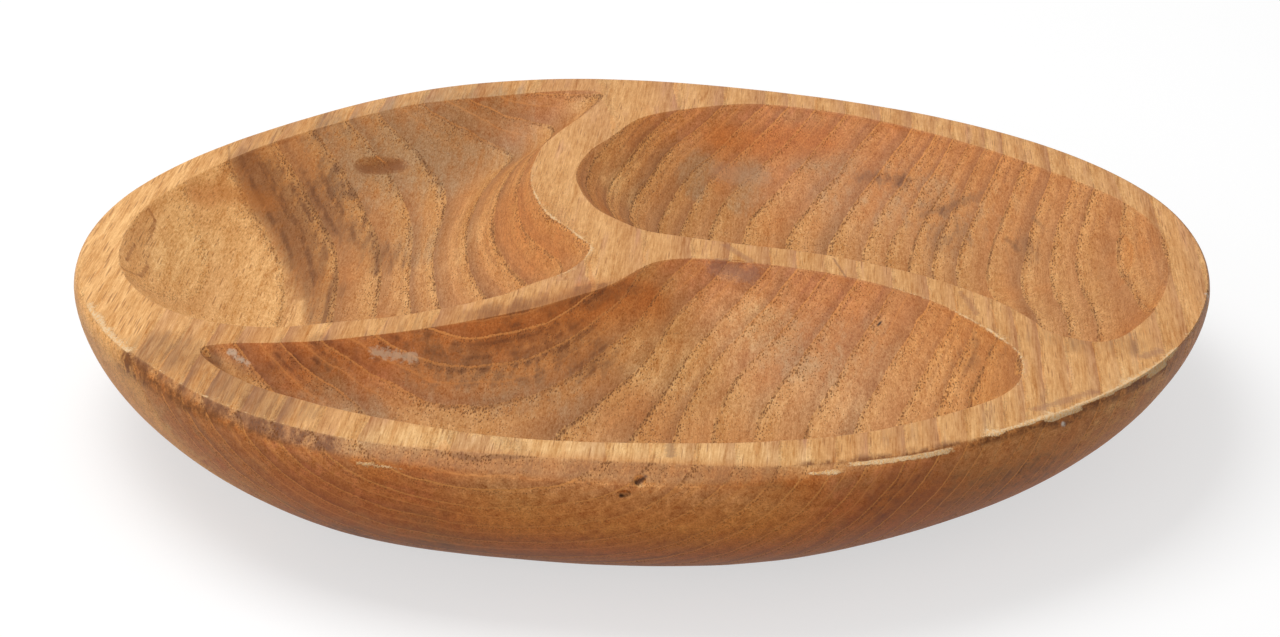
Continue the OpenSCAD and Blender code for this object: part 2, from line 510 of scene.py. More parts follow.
    def depth(self, points: np.ndarray, gap: np.ndarray) -> np.ndarray:
        """Works out the pocket's depth below the rim, before it is smoothed.

        Args:
            points: Places in plan.
            gap: Their distances in from the edge, below 0 outside it, where the wall's slope runs on.

        Returns:
            Their depths.
        """
        s = self.sizes
        u = self.along_floor(points)
        reach = np.maximum(np.maximum(gap, 0) + np.linalg.norm(points - self.floor_point(u), axis=-1), 1e-6)
        inside = np.maximum(gap, 0)
        wall = self.wall_fallen(inside) / self.wall_fallen(reach)
        dish = 1 - (1 - inside / reach) ** 2
        full = (s.height - s.floor) * (s.tail_depth_share + (1 - s.tail_depth_share) * u * u * (3 - 2 * u))
        slope = s.pocket_fullness / s.wall_run / self.wall_fallen(reach) * (1 - s.dish_share) + 2 / reach * s.dish_share
        return full * (wall * (1 - s.dish_share) + dish * s.dish_share + np.minimum(gap, 0) * slope)

    def build(self) -> bpy.types.Object:
        """Builds the pocket's air.

        Returns:
            The air as one closed mesh that reaches above the rim.
        """
        s = self.sizes
        line = self.outline()
        edge = np.array([list(p) for p in line])
        normals = np.array([list(n) for n in self.outwards(line)])
        bowl = PocketBowl(self, edge)
        places = []
        for out in (self.edge_steps[0], *self.edge_steps):
            drop = (math.hypot(out, self.edge_softness) - out) / 2 - self.edge_lift
            z = s.height + self.above if not places else s.height - drop
            places.append(np.column_stack([edge + normals * out, np.full(len(edge), z)]))
        u = self.along_floor(edge)
        for ring in range(self.rings):
            inward = (ring / self.rings) ** self.ring_crowding
            flat = edge + (self.floor_point(u) - edge) * inward
            depth = bowl.read(flat)
            depth = (depth + np.hypot(depth, self.edge_softness)) / 2
            places.append(np.column_stack([flat, s.height - depth]))
        flat = self.floor_point(np.round(u * self.floor_steps) / self.floor_steps)
        places.append(np.column_stack([flat, s.height - bowl.read(flat)]))
        places = np.array(places)
        air = drawn_tube(f"air_{self.pocket.name.lower()}", self.points, len(places))
        shape_tube(air, places, self.weld)
        return air


class PocketBowl:
    """A pocket's depth all over its plan, smoothed as a carver's scraper leaves it."""

    # how far the grid reaches beyond the edge
    MARGIN = 8
    # the depths keep their places this near the edge, are free after so much more, and then move this slowly
    HELD, FREED, SLOWNESS = 1, 6, 70
    # how far from the edge the smoothed depths begin to be read, and after how much more they alone are
    BLEND_START, BLEND = 1.5, 4

    def __init__(self, form: CarvedPocket, edge: np.ndarray, pitch: float = 2.0, passes: int = 500) -> None:
        """Works the depths out on a grid.

        Args:
            form: The pocket.
            edge: The points of its edge in plan.
            pitch: The grid's spacing in millimetres.
            passes: How often the depths are evened out.
        """
        self.form, self.edge, self.pitch = form, edge, pitch
        self.low = np.floor(edge.min(0)) - self.MARGIN
        size = np.ceil((edge.max(0) + self.MARGIN - self.low) / pitch).astype(int) + 1
        grid = self.low + pitch * np.stack(np.meshgrid(np.arange(size[0]), np.arange(size[1]), indexing="ij"), -1)
        flat = grid.reshape(-1, 2)
        gap = self.gaps(flat) * np.where(self.inside(flat), 1, -1)
        depth = form.depth(flat, gap).reshape(size)
        freedom = np.clip((gap.reshape(size) - self.HELD) / self.FREED, 0, 1) / self.SLOWNESS
        for _ in range(passes):
            depth = depth - freedom * self.bend(self.bend(depth))
        self.depths = depth

    @staticmethod
    def bend(depth: np.ndarray) -> np.ndarray:
        """Returns how far each depth of the grid lies from the mean of its neighbours, times four."""
        return np.roll(depth, 1, 0) + np.roll(depth, -1, 0) + np.roll(depth, 1, 1) + np.roll(depth, -1, 1) - 4 * depth

    def gaps(self, points: np.ndarray) -> np.ndarray:
        """Measures distances in plan from the edge.

        Args:
            points: Places in plan.

        Returns:
            Their distances, inside the pocket and outside it alike.
        """
        a, b = self.edge, np.roll(self.edge, -1, 0)
        way = b - a
        best = np.full(len(points), np.inf)
        for start, step in zip(a, way):
            u = np.clip((points - start) @ step / (step @ step), 0, 1)
            best = np.minimum(best, np.linalg.norm(points - start - u[:, None] * step, axis=1))
        return best

    def inside(self, points: np.ndarray) -> np.ndarray:
        """Tells the inside of the edge from its outside.

        Args:
            points: Places in plan.

        Returns:
            For each, whether it lies inside.
        """
        within = np.zeros(len(points), bool)
        for a, b in zip(self.edge, np.roll(self.edge, -1, 0)):
            crosses = (a[1] > points[:, 1]) != (b[1] > points[:, 1])
            slope = (b[0] - a[0]) / (b[1] - a[1] if b[1] != a[1] else 1e-9)
            within ^= crosses & (points[:, 0] < a[0] + (points[:, 1] - a[1]) * slope)
        return within

    def read(self, points: np.ndarray) -> np.ndarray:
        """Reads depths: exact near the edge, and from the smoothed grid further in.

        Args:
            points: Places in plan.

        Returns:
            Their depths below the rim.
        """
        at = (points - self.low) / self.pitch
        cell = np.floor(at).astype(int)
        fx, fy = (at - cell).T
        x, y = cell.T
        d = self.depths
        smooth = (d[x, y] * (1 - fx) * (1 - fy) + d[x + 1, y] * fx * (1 - fy) + d[x, y + 1] * (1 - fx) * fy
                  + d[x + 1, y + 1] * fx * fy)
        gap = self.gaps(points)
        share = np.clip((gap - self.BLEND_START) / self.BLEND, 0, 1)
        return self.form.depth(points, gap) * (1 - share) + smooth * share


@dataclass(frozen=True)
class Dent:
    """A dent, a tool's cut or a bump in the carved surface."""

    name: str
    at: Point
    # half its length, half its width and half its height, and how far it is turned from +X, in degrees
    reach: Point
    turn: float
    # how deep it goes, below 0 for a bump, and how sharp its border is, from 0 to 1
    depth: float
    crisp: float = 0.0
    # how often the faces there are cut across
    cuts: int = 2

    def share(self, place: Vector) -> float:
        """Tells how much of the dent's depth a place gets.

        Args:
            place: The place.

        Returns:
            A share from 0 to 1.
        """
        away = place - Vector(self.at)
        c, s = math.cos(math.radians(self.turn)), math.sin(math.radians(self.turn))
        along, across = away.x * c + away.y * s, away.y * c - away.x * s
        spread = math.hypot(along / self.reach[0], across / self.reach[1], away.z / self.reach[2])
        return (1 - spread * spread) ** (2 - 1.5 * self.crisp) if spread < 1 else 0.0


class Tone(Enum):
    """The ways in which a patch of the wood differs from the rest, each kept as an attribute; some DARK and WARM
    patches are painted shade.
    """

    GREY = "grey"
    WARM = "warm"
    DARK = "dark"
    PALE = "pale"


@dataclass(frozen=True)
class TonePatch:
    """A soft patch of another tone, spread along a line."""

    tone: Tone
    start: Point
    end: Point
    radius: float
    strength: float

    def amount(self, places: np.ndarray) -> np.ndarray:
        """Tells how strong the patch is.

        Args:
            places: Many places.

        Returns:
            The strength at each.
        """
        start, way = np.array(self.start), np.array(self.end) - np.array(self.start)
        away = places - start
        along = np.clip(away @ way / max(way @ way, 1e-9), 0, 1)
        gap = np.linalg.norm(away - along[:, None] * way, axis=1) / self.radius
        return self.strength * np.clip(1 - gap * gap, 0, 1) ** 1.5


@dataclass(frozen=True)
class EdgeWearAndLight:
    """How the tray's edges have worn and soiled, with painted highlights and painted shadow among the bands, by their
    places.
    """

    # pale, rubbed stretches of the pockets' edges: x, y, how strong and how long
    pale_edges: Sequence[tuple[float, float, float, float]] = (
        (-32, 60, 0.7, 12), (-28, 42, 0.9, 12), (-24, 26, 1.0, 10), (-18, 11, 1.0, 9), (-13, -2, 1.0, 8),
        (-19, -18, 0.9, 8), (86, -48, 0.8, 10), (93, -60, 1.0, 10), (94, -74, 0.8, 8), (95, -84, 0.9, 8),
        (92, -94, 0.6, 7), (70, -34, 0.6, 14), (120, -47, 0.6, 8), (127, -38, 0.6, 8), (12, -2, 0.3, 10),
        (-60, -40, 0.35, 30),
    )
    rubbed_least: float = 0.12
    # pale bands round the outer edge: worn wood, and painted highlights along the front's edges (213 to 252 and 284 to
    # 300 degrees)
    worn: Sequence[Band] = (
        (302, 334, -0.6, 0.8, 1.0), (309.5, 316, 0.4, 2.2, 1.0), (325, 331, 0.4, 2.4, 1.0), (318, 321, 0.4, 1.4, 0.9),
        (303, 306, 0.6, 1.7, 0.9), (307, 310, 0.6, 1.3, 0.9), (321, 324, 0.5, 1.2, 0.9), (330, 333, 0.6, 1.6, 0.9),
        (284, 289, 3.4, 5.2, 0.8), (288, 300, 1.2, 3.0, 0.9), (196, 212, -0.5, 1.3, 0.85),
        (213, 246, -0.1, 0.5, 0.45), (243, 252, 8.4, 9.4, 0.7), (334, 352, -0.2, 0.7, 0.5), (150, 197, -0.3, 0.4, 0.3),
        (20, 150, -0.3, 0.4, 0.2),
    )
    # dark bands round the outer edge: soil, and painted shadow on the front's slope (240 to 285 degrees) and under the
    # worn right front edge (284 to 334 degrees)
    soiled: Sequence[Band] = (
        (209, 243, 0.7, 7.5, 0.95), (240, 262, 0.8, 9.0, 0.5), (262, 285, 0.8, 9.0, 0.5), (284, 302, -0.2, 1.2, 0.9),
        (300, 334, 0.8, 3.2, 1.0), (310, 316, 1.8, 4.6, 1.0), (316.5, 319, 1.6, 4.0, 0.9), (329, 333, 1.8, 4.8, 0.9),
        (333, 350, 0.6, 1.8, 0.5),
    )
    # how softly a band ends: over so many degrees, and across it over so much and this share of its width
    end_fade: float = 1.5
    side_fade: float = 0.3
    side_fade_share: float = 0.14
    # how far outside its sides a band still shows, in side fades
    overlap: float = 0.6

    def rub(self, place: Vector) -> float:
        """Returns how pale the edge of a pocket is rubbed near a place."""
        return max(self.rubbed_least, *(strength * math.exp(-((place.x - x) ** 2 + (place.y - y) ** 2) / length ** 2)
                                        for x, y, strength, length in self.pale_edges))

    def band(self, degrees: float, out: float, bands: Sequence[Band]) -> float:
        """Reads bands round the outer edge.

        Args:
            degrees: An angle from +X.
            out: A distance outside the flat top.
            bands: The bands.

        Returns:
            How strong the strongest of them is there.
        """
        best = 0.0
        for a, b, low, high, strength in bands:
            ends = min((degrees - a) / self.end_fade, (b - degrees) / self.end_fade)
            soft = self.side_fade + self.side_fade_share * (high - low)
            sides = min((out - low) / soft, (high - out) / soft) + self.overlap
            if ends > 0 and sides > 0:
                best = max(best, strength * min(1.0, ends) * min(1.0, sides))
        return best


@dataclass
class CarvedTray:
    """The whole tray: a carved outside with three pockets cut into it, finished by hand."""

    outside: CarvedOutside = field(default_factory=CarvedOutside)
    edge_wear_and_light: EdgeWearAndLight = field(default_factory=EdgeWearAndLight)
    # the flat top's grid: its spacing, and how far it reaches from the middle
    top_grid: float = 4.0
    top_reach: float = 156.0
    # how far the hand-scraped surface rises and falls, in the pockets and elsewhere, and the length of its waves;
    # lesser waves, this share as high, run over them
    pocket_waves: Pair = (0.16, 24.0)
    other_waves: Pair = (0.10, 30.0)
    lesser_waves: float = 0.35
    # how far beyond a dent the faces are made smaller
    dent_border: float = 1.2
    # heights and distances that tell the parts of the surface apart: the flat foot, the pockets, which begin so far
    # below the rim and inside its outer edge, the zones of the edges' wear, soil, painted highlights and painted
    # shadow, and how wide a pocket's edge is rubbed
    foot_height: float = 0.01
    pocket_below: float = 0.6
    pocket_inside: float = -2.0
    edge_bands_above: float = 30.0
    edge_bands_inside: float = -3.0
    worn_below: float = 2.5
    rub_width: float = 0.9
    crease: float = 20.0
    # patches of other tones: the wood's own stains, with painted shade and painted warm shade where noted
    tone_patches: Sequence[TonePatch] = (
        # left pocket
        TonePatch(Tone.DARK, (-113, 76, 40), (-100, 58, 26), 12, 1.0),
        TonePatch(Tone.DARK, (-100, 58, 26), (-89, 32, 16), 11, 0.9),
        TonePatch(Tone.DARK, (-89, 32, 16), (-88, -20, 24), 8, 0.55),
        TonePatch(Tone.DARK, (-96, 84, 33), (-74, 50, 16), 13, 0.6),
        TonePatch(Tone.GREY, (-80, 98, 32), (-49, 124, 36), 30, 0.85),
        TonePatch(Tone.GREY, (-71, 79, 24), (-60, 50, 16), 14, 0.45),
        TonePatch(Tone.WARM, (-126, 52, 38), (-122, 56, 38), 8, 0.6),
        # painted warm shade on the hub's wall
        TonePatch(Tone.WARM, (-36, 52, 34), (-25, 12, 35), 17, 0.48),
        TonePatch(Tone.PALE, (-44, 56, 30), (-50, 36, 24), 8, 0.25),
        TonePatch(Tone.PALE, (-130, 10, 36), (-127, 34, 33), 18, 0.5),
        # right pocket
        TonePatch(Tone.WARM, (25, 118, 34), (54, 114, 35), 10, 0.8),
        TonePatch(Tone.WARM, (27, 112, 28), (24, 102, 24), 6, 0.6),
        TonePatch(Tone.GREY, (18, 109, 29), (15, 97, 25), 8, 0.8),
        TonePatch(Tone.GREY, (33, 110, 27), (30, 96, 22), 8, 0.8),
        TonePatch(Tone.GREY, (48, 112, 30), (62, 106, 30), 8, 0.6),
        TonePatch(Tone.GREY, (66, 97, 27), (100, 66, 27), 24, 0.32),
        TonePatch(Tone.DARK, (66, 99, 29), (79, 92, 29), 4, 0.7),
        TonePatch(Tone.DARK, (84, 76, 25), (100, 74, 32), 4, 0.6),
        TonePatch(Tone.DARK, (84, 72, 24), (110, 42, 27), 16, 0.25),
        TonePatch(Tone.PALE, (-10, 92, 33), (-8, 76, 33), 16, 0.35),
        # front pocket
        # painted shade under the hub's edge and the divider
        TonePatch(Tone.DARK, (-47, -53, 41), (-8, -31, 41), 7, 0.8),
        TonePatch(Tone.DARK, (-97, -72, 38), (-60, -64, 37), 9, 0.5),
        TonePatch(Tone.DARK, (-53, -61, 37), (-15, -48, 33), 17, 0.6),
        # painted warm shade under the hub
        TonePatch(Tone.WARM, (-40, -52, 36), (2, -24, 37), 12, 1.0),
        TonePatch(Tone.GREY, (-53, -66, 33), (-20, -64, 26), 16, 0.5),
        TonePatch(Tone.GREY, (-78, -76, 31), (-70, -80, 28), 12, 0.7),
        TonePatch(Tone.GREY, (30, -30, 30), (60, -40, 26), 18, 0.4),
        TonePatch(Tone.WARM, (0, -63, 18), (25, -70, 17), 20, 0.4),
        TonePatch(Tone.PALE, (4, -44, 28), (26, -28, 34), 22, 0.4),
        TonePatch(Tone.PALE, (-22, -90, 26), (0, -84, 20), 18, 0.2),
        TonePatch(Tone.PALE, (20, -56, 20), (70, -56, 26), 32, 0.22),
        # outer wall
        TonePatch(Tone.DARK, (-122, -74, 42), (-88, -112, 42), 15, 0.75),
        TonePatch(Tone.DARK, (-118, 84, 42), (-92, 112, 42), 12, 0.3),
        TonePatch(Tone.DARK, (86, -62, 42), (122, -66, 42), 14, 0.45),
        TonePatch(Tone.GREY, (-112, -103, 30), (-44, -136, 14), 20, 0.5),
        TonePatch(Tone.GREY, (-12, -146, 26), (14, -146, 22), 10, 0.5),
        TonePatch(Tone.PALE, (-34, -144, 30), (30, -148, 30), 20, 0.4),
        # deeper orange along the front's sloping edge: unpolished wood, and painted shade
        TonePatch(Tone.WARM, (-62, -137, 39), (40, -147, 39), 7, 0.9),
        TonePatch(Tone.WARM, (-40, -144, 24), (30, -146, 24), 16, 0.5),
        TonePatch(Tone.PALE, (-120, -84, 26), (-90, -112, 20), 18, 0.25),
        TonePatch(Tone.PALE, (84, -124, 34), (130, -80, 30), 24, 0.36),
        TonePatch(Tone.WARM, (60, -128, 18), (118, -84, 18), 22, 0.4),
        TonePatch(Tone.DARK, (62, -128, 42), (100, -102, 42), 12, 0.25),
        TonePatch(Tone.DARK, (60, -140, 30), (100, -112, 26), 14, 0.5),
        # darker low on the front wall: painted shade
        TonePatch(Tone.DARK, (-80, -118, 12), (-30, -128, 8), 14, 0.5),
        TonePatch(Tone.GREY, (80, -130, 34), (130, -80, 34), 14, 0.35),
        # rim
        TonePatch(Tone.PALE, (-62, -130, 42), (36, -140, 42), 14, 0.45),
        # back of the wall, which the camera doesn't see
        TonePatch(Tone.GREY, (-60, 136, 28), (10, 146, 24), 22, 0.4),
        TonePatch(Tone.DARK, (70, 128, 24), (110, 96, 20), 16, 0.4),
        TonePatch(Tone.WARM, (140, 30, 26), (130, 62, 24), 18, 0.4),
    )
    dents: Sequence[Dent] = (
        Dent("gouge", (-77.5, 97.0, 31.5), (10.0, 4.2, 6), 28, 1.3, 0.45),
        Dent("tool_end_left", (-134.5, 12.0, 37.0), (13.0, 5.2, 6), 92, 0.8, 0.7),
        Dent("scallop_right", (131.0, 12.0, 34.5), (17.0, 5.0, 6), 80, 0.6, 0.8),
        Dent("scallop_foot", (127.5, -3.5, 33.0), (6.0, 3.4, 5), 20, 0.5, 0.7),
        Dent("knot", (25.5, -11.0, 41.0), (7.5, 4.5, 5), -10, 0.35),
        Dent("notch", (-20.6, -22.6, 42.0), (2.6, 1.6, 1.6), 60, 0.7, 0.8, 3),
        Dent("bite_front", (103.5, -108.5, 40.8), (3.0, 1.3, 1.6), 38, 0.6, 0.6, 3),
        Dent("bite_right", (129.5, -79.0, 40.6), (2.6, 1.3, 1.8), 52, 0.6, 0.6, 3),
        Dent("pit_a", (-3.2, -149.4, 36.8), (1.8, 2.5, 1.0), 0, 0.9, 0.6, 3),
        Dent("pit_b", (0.3, -147.6, 39.4), (1.6, 2.5, 1.2), 0, 0.9, 0.6, 3),
    )

    def pockets(self) -> list[CarvedPocket]:
        """Returns the three pockets."""
        return [CarvedPocket(pocket, self.outside) for pocket in Pocket]

    def slice_top(self, tray: bpy.types.Object) -> None:
        """Slices the flat top into small faces, so that it can be shaped by hand.

        Args:
            tray: The cut tray.
        """
        take(tray)
        bpy.ops.object.mode_set(mode="EDIT")
        bpy.ops.mesh.select_mode(type="FACE")
        top = self.outside.sizes.height
        select_where(lambda middle, normal: normal.z > 0.9999 and abs(middle.z - top) < 0.01)
        bpy.ops.mesh.hide(unselected=True)
        for axis in (Vector((1, 0, 0)), Vector((0, 1, 0))):
            for i in range(1, int(2 * self.top_reach / self.top_grid)):
                bpy.ops.mesh.select_all(action="SELECT")
                bpy.ops.mesh.bisect(plane_co=axis * (i * self.top_grid - self.top_reach) * MM, plane_no=axis)
        bpy.ops.mesh.reveal()
        bpy.ops.object.mode_set(mode="OBJECT")

    def refine(self, tray: bpy.types.Object) -> None:
        """Divides the faces at each dent, so that its border can be sharp.

        Args:
            tray: The cut tray.
        """
        take(tray)
        bpy.ops.object.mode_set(mode="EDIT")
        bpy.ops.mesh.select_mode(type="FACE")
        for dent in self.dents:
            wide = replace(dent, reach=tuple(r + self.dent_border for r in dent.reach))
            count = select_where(lambda middle, _: wide.share(middle) > 0)
            if count:
                bpy.ops.mesh.subdivide(number_cuts=dent.cuts, quadcorner="INNERVERT")
            log.info("dent %s: %d faces divided", dent.name, count)
        bpy.ops.object.mode_set(mode="OBJECT")

    def out_of_top(self, place: Vector) -> float:
        """Measures how far outside the rim's flat top a place near the outer edge lies.

        Args:
            place: The place.

        Returns:
            The distance out plus the distance down, below 0 inside.
        """
        degrees = math.degrees(math.atan2(place.y, place.x)) % 360
        flat = self.outside.rim_radius(degrees) - self.outside.slope(degrees)
        return math.hypot(place.x, place.y) - flat + self.outside.sizes.height - place.z

    def work_by_hand(self, tray: bpy.types.Object) -> None:
        """Gives the smooth form its scraped waves and its dents.

        Args:
            tray: The cut tray.
        """
        top = self.outside.sizes.height
        mesh = tray.data
        moves = []
        for vertex in mesh.vertices:
            place = vertex.co / MM
            if place.z < self.foot_height:
                moves.append(0.0)
                continue
            carved = place.z < top - self.pocket_below and self.out_of_top(place) < self.pocket_inside
            height, length = self.pocket_waves if carved else self.other_waves
            move = height * (wander(place, length, 3.1) + self.lesser_waves * wander(place, length / 3, 8.3))
            moves.append(move - sum(dent.depth * dent.share(place) for dent in self.dents))
        for vertex, normal, move in zip(mesh.vertices, [Vector(n.vector) for n in mesh.vertex_normals], moves):
            vertex.co += normal * move * MM
        mesh.update()

    def mark_wear_and_light(self, tray: bpy.types.Object) -> None:
        """Writes where the tray is worn, soiled and stained, and where its painted shade, shadow and highlights lie, as
        attributes that its finish reads.

        Args:
            tray: The shaped tray.
        """
        top = self.outside.sizes.height
        mesh = tray.data
        places = np.empty(len(mesh.vertices) * 3)
        mesh.vertices.foreach_get("co", places)
        places = places.reshape(-1, 3) / MM
        for tone in Tone:
            amount = np.zeros(len(places))
            for tone_patch in self.tone_patches:
                if tone_patch.tone is tone:
                    amount = np.maximum(amount, tone_patch.amount(places))
            mesh.attributes.new(tone.value, "FLOAT", "POINT").data.foreach_set("value", amount)
        worn, soiled = np.zeros(len(places)), np.zeros(len(places))
        rim_line = Edges([pocket.outline() for pocket in self.pockets()], top)
        for index in np.nonzero(places[:, 2] > self.edge_bands_above)[0]:
            place = Vector(places[index])
            out = self.out_of_top(place)
            if out > self.edge_bands_inside:
                degrees = math.degrees(math.atan2(place.y, place.x)) % 360
                worn[index] = self.edge_wear_and_light.band(degrees, out, self.edge_wear_and_light.worn)
                soiled[index] = self.edge_wear_and_light.band(degrees, out, self.edge_wear_and_light.soiled)
            elif place.z > top - self.worn_below:
                worn[index] = self.edge_wear_and_light.rub(place) * max(0.0, 1 - rim_line.gap(place) / self.rub_width)
        for name, values in (("worn", worn), ("soiled", soiled)):
            mesh.attributes.new(name, "FLOAT", "POINT").data.foreach_set("value", values)

    def build(self) -> bpy.types.Object:
        """Carves the tray and finishes its surface.

        Returns:
            The tray.
        """
        tray = self.outside.build()
        for pocket in self.pockets():
            air = pocket.build()
            log.info("%s: %d faces", air.name, len(air.data.polygons))
            apply_modifier(tray, "BOOLEAN", operation="DIFFERENCE", solver="EXACT", object=air)
            bpy.data.meshes.remove(air.data)
        self.slice_top(tray)
        self.refine(tray)
        self.work_by_hand(tray)
        self.mark_wear_and_light(tray)
        take(tray)
        bpy.ops.object.shade_smooth_by_angle(angle=math.radians(self.crease))
        return tray


class Edges:
    """The pockets' edges in the rim's plane, for reading how far a place lies from them."""

    def __init__(self, lines: Sequence[Sequence[Vector]], height: float) -> None:
        """Keeps the lines' points.

        Args:
            lines: The closed lines in plan.
            height: The height that they lie at.
        """
        points = [Vector((p.x, p.y, height)) for line in lines for p in line]
        self.tree = kdtree.KDTree(len(points))
        for index, point in enumerate(points):
            self.tree.insert(point, index)
        self.tree.balance()
        self.ends = []
        for line in lines:
            start = len(self.ends)
            count = len(line)
            self.ends += [(start + (i - 1) % count, start + (i + 1) % count) for i in range(count)]
        self.points = points

    def gap(self, place: Vector) -> float:
        """Measures how far a place lies from the edges.

        Args:
            place: The place.

        Returns:
            Its distance from the nearest one.
        """
        _, index, _ = self.tree.find(place)
        here = self.points[index]
        best = (place - here).length
        for other in self.ends[index]:
            way = self.points[other] - here
            share = min(1.0, max(0.0, (place - here).dot(way) / way.dot(way)))
            best = min(best, (place - here - way * share).length)
        return best


# --------------------------------------------------------------------------------------------------- shader arithmetic


def shade(red: int, green: int, blue: int) -> Rgba:
    """Returns a screen colour, given from 0 to 255, as the renderer's plain light values."""
    light = [v / 255 / 12.92 if v <= 10 else ((v / 255 + 0.055) / 1.055) ** 2.4 for v in (red, green, blue)]
    return (*light, 1.0)


class Wire:
    """The output of a node, on which Python's arithmetic adds Math nodes."""

    def __init__(self, bench: "Bench", socket: bpy.types.NodeSocket) -> None:
        """Wraps a socket of a bench's nodes."""
        self.bench, self.socket = bench, socket

    def __add__(self, other: "Value") -> "Wire":
        """Returns the sum."""
        return self.bench.maths("ADD", self, other)

    def __radd__(self, other: float) -> "Wire":
        """Returns the sum."""
        return self.bench.maths("ADD", other, self)

    def __sub__(self, other: "Value") -> "Wire":
        """Returns the difference."""
        return self.bench.maths("SUBTRACT", self, other)

    def __rsub__(self, other: float) -> "Wire":
        """Returns the difference."""
        return self.bench.maths("SUBTRACT", other, self)

    def __mul__(self, other: "Value") -> "Wire":
        """Returns the product."""
        return self.bench.maths("MULTIPLY", self, other)

    def __rmul__(self, other: float) -> "Wire":
        """Returns the product."""
        return self.bench.maths("MULTIPLY", other, self)

    def or_more(self, other: "Value") -> "Wire":
        """Returns the larger of the two."""
        return self.bench.maths("MAXIMUM", self, other)

    def rise(self, low: float, high: float) -> "Wire":
        """Turns a number into a soft step.

        Args:
            low: Where the step is 0.
            high: Where it is 1, which may be below low.

        Returns:
            The step.
        """
        if low > high:
            return 1 - self.rise(high, low)
        return self.bench.node("ShaderNodeMapRange", {"interpolation_type": "SMOOTHSTEP"},
                               {"Value": self, "From Min": low, "From Max": high})

    def span(self, low: float, high: float) -> "Wire":
        """Maps 0 to low and 1 to high."""
        return self * (high - low) + low


Value = Wire | float


class Bench:
    """A material's nodes, and the ways of adding to them."""

    def __init__(self, name: str) -> None:
        """Starts a material with no nodes.

        Args:
            name: The material's name.
        """
        self.material = bpy.data.materials.new(name)
        self.material.use_nodes = True
        self.tree = self.material.node_tree
        self.tree.nodes.clear()

    def node(self, kind: str, settings: dict[str, object] | None = None,
             inputs: dict[str | int, object] | None = None, output: str | int = 0) -> "Wire | None":
        """Adds a node.

        Args:
            kind: The node's type.
            settings: Its settings, set first. "curve" gives a curve's points.
            inputs: The values or wires of its sockets, by name or number.
            output: Which output to return.

        Returns:
            That output, or None for a node that has none.
        """
        made = self.tree.nodes.new(kind)
        for name, value in (settings or {}).items():
            if name == "curve":
                points = made.mapping.curves[0].points
                points[0].location, points[1].location = value[0], value[-1]
                for point in value[1:-1]:
                    points.new(*point)
                for point in points:
                    point.handle_type = "VECTOR"
                made.mapping.update()
            else:
                setattr(made, name, value)
        for name, value in (inputs or {}).items():
            if isinstance(value, Wire):
                self.tree.links.new(value.socket, made.inputs[name])
            else:
                made.inputs[name].default_value = value
        return Wire(self, made.outputs[output]) if len(made.outputs) else None

    def maths(self, operation: str, *values: Value, clamp: bool = False) -> Wire:
        """Adds a Math node."""
        return self.node("ShaderNodeMath", {"operation": operation, "use_clamp": clamp}, dict(enumerate(values)))

    def vector(self, operation: str, *values: object, number: bool = False) -> Wire:
        """Adds a Vector Math node and returns its vector, or its number where it gives one."""
        return self.node("ShaderNodeVectorMath", {"operation": operation}, dict(enumerate(values)), int(number))

    def grow(self, wire: Wire, by: float) -> Wire:
        """Returns a vector times a number."""
        return self.node("ShaderNodeVectorMath", {"operation": "SCALE"}, {0: wire, "Scale": by})

    def parts(self, wire: Wire) -> tuple[Wire, Wire, Wire]:
        """Separates a vector.

        Args:
            wire: The vector.

        Returns:
            Its three parts.
        """
        x = self.node("ShaderNodeSeparateXYZ", inputs={0: wire})
        outputs = x.socket.node.outputs
        return x, Wire(self, outputs[1]), Wire(self, outputs[2])

    def whole(self, x: Value, y: Value, z: Value) -> Wire:
        """Returns three numbers as one vector."""
        return self.node("ShaderNodeCombineXYZ", inputs={0: x, 1: y, 2: z})

    def mix(self, share: Value, low: object, high: object, way: str = "MIX") -> Wire:
        """Mixes two colours."""
        return self.node("ShaderNodeMix", {"data_type": "RGBA", "blend_type": way}, {0: share, 6: low, 7: high}, 2)

    def attribute(self, name: str) -> Wire:
        """Returns a number that is kept with the mesh."""
        return self.node("ShaderNodeAttribute", {"attribute_name": name}, output="Fac")

    def cloud(self, place: Wire, detail: float = 2.0, roughness: float = 0.5) -> Wire:
        """Returns soft noise about 0.5 with a grain of about one unit."""
        return self.node("ShaderNodeTexNoise", {"noise_dimensions": "3D"},
                         {"Vector": place, "Scale": 1.0, "Detail": detail, "Roughness": roughness})

    def cells(self, x: Wire, y: Wire, z: Wire) -> Wire:
        """Returns the distance from the nearest of many scattered points, about one unit apart."""
        return self.node("ShaderNodeTexVoronoi", {"feature": "F1"}, {"Vector": self.whole(x, y, z), "Scale": 1.0})


# ------------------------------------------------------------------------------------------------------- the finishes


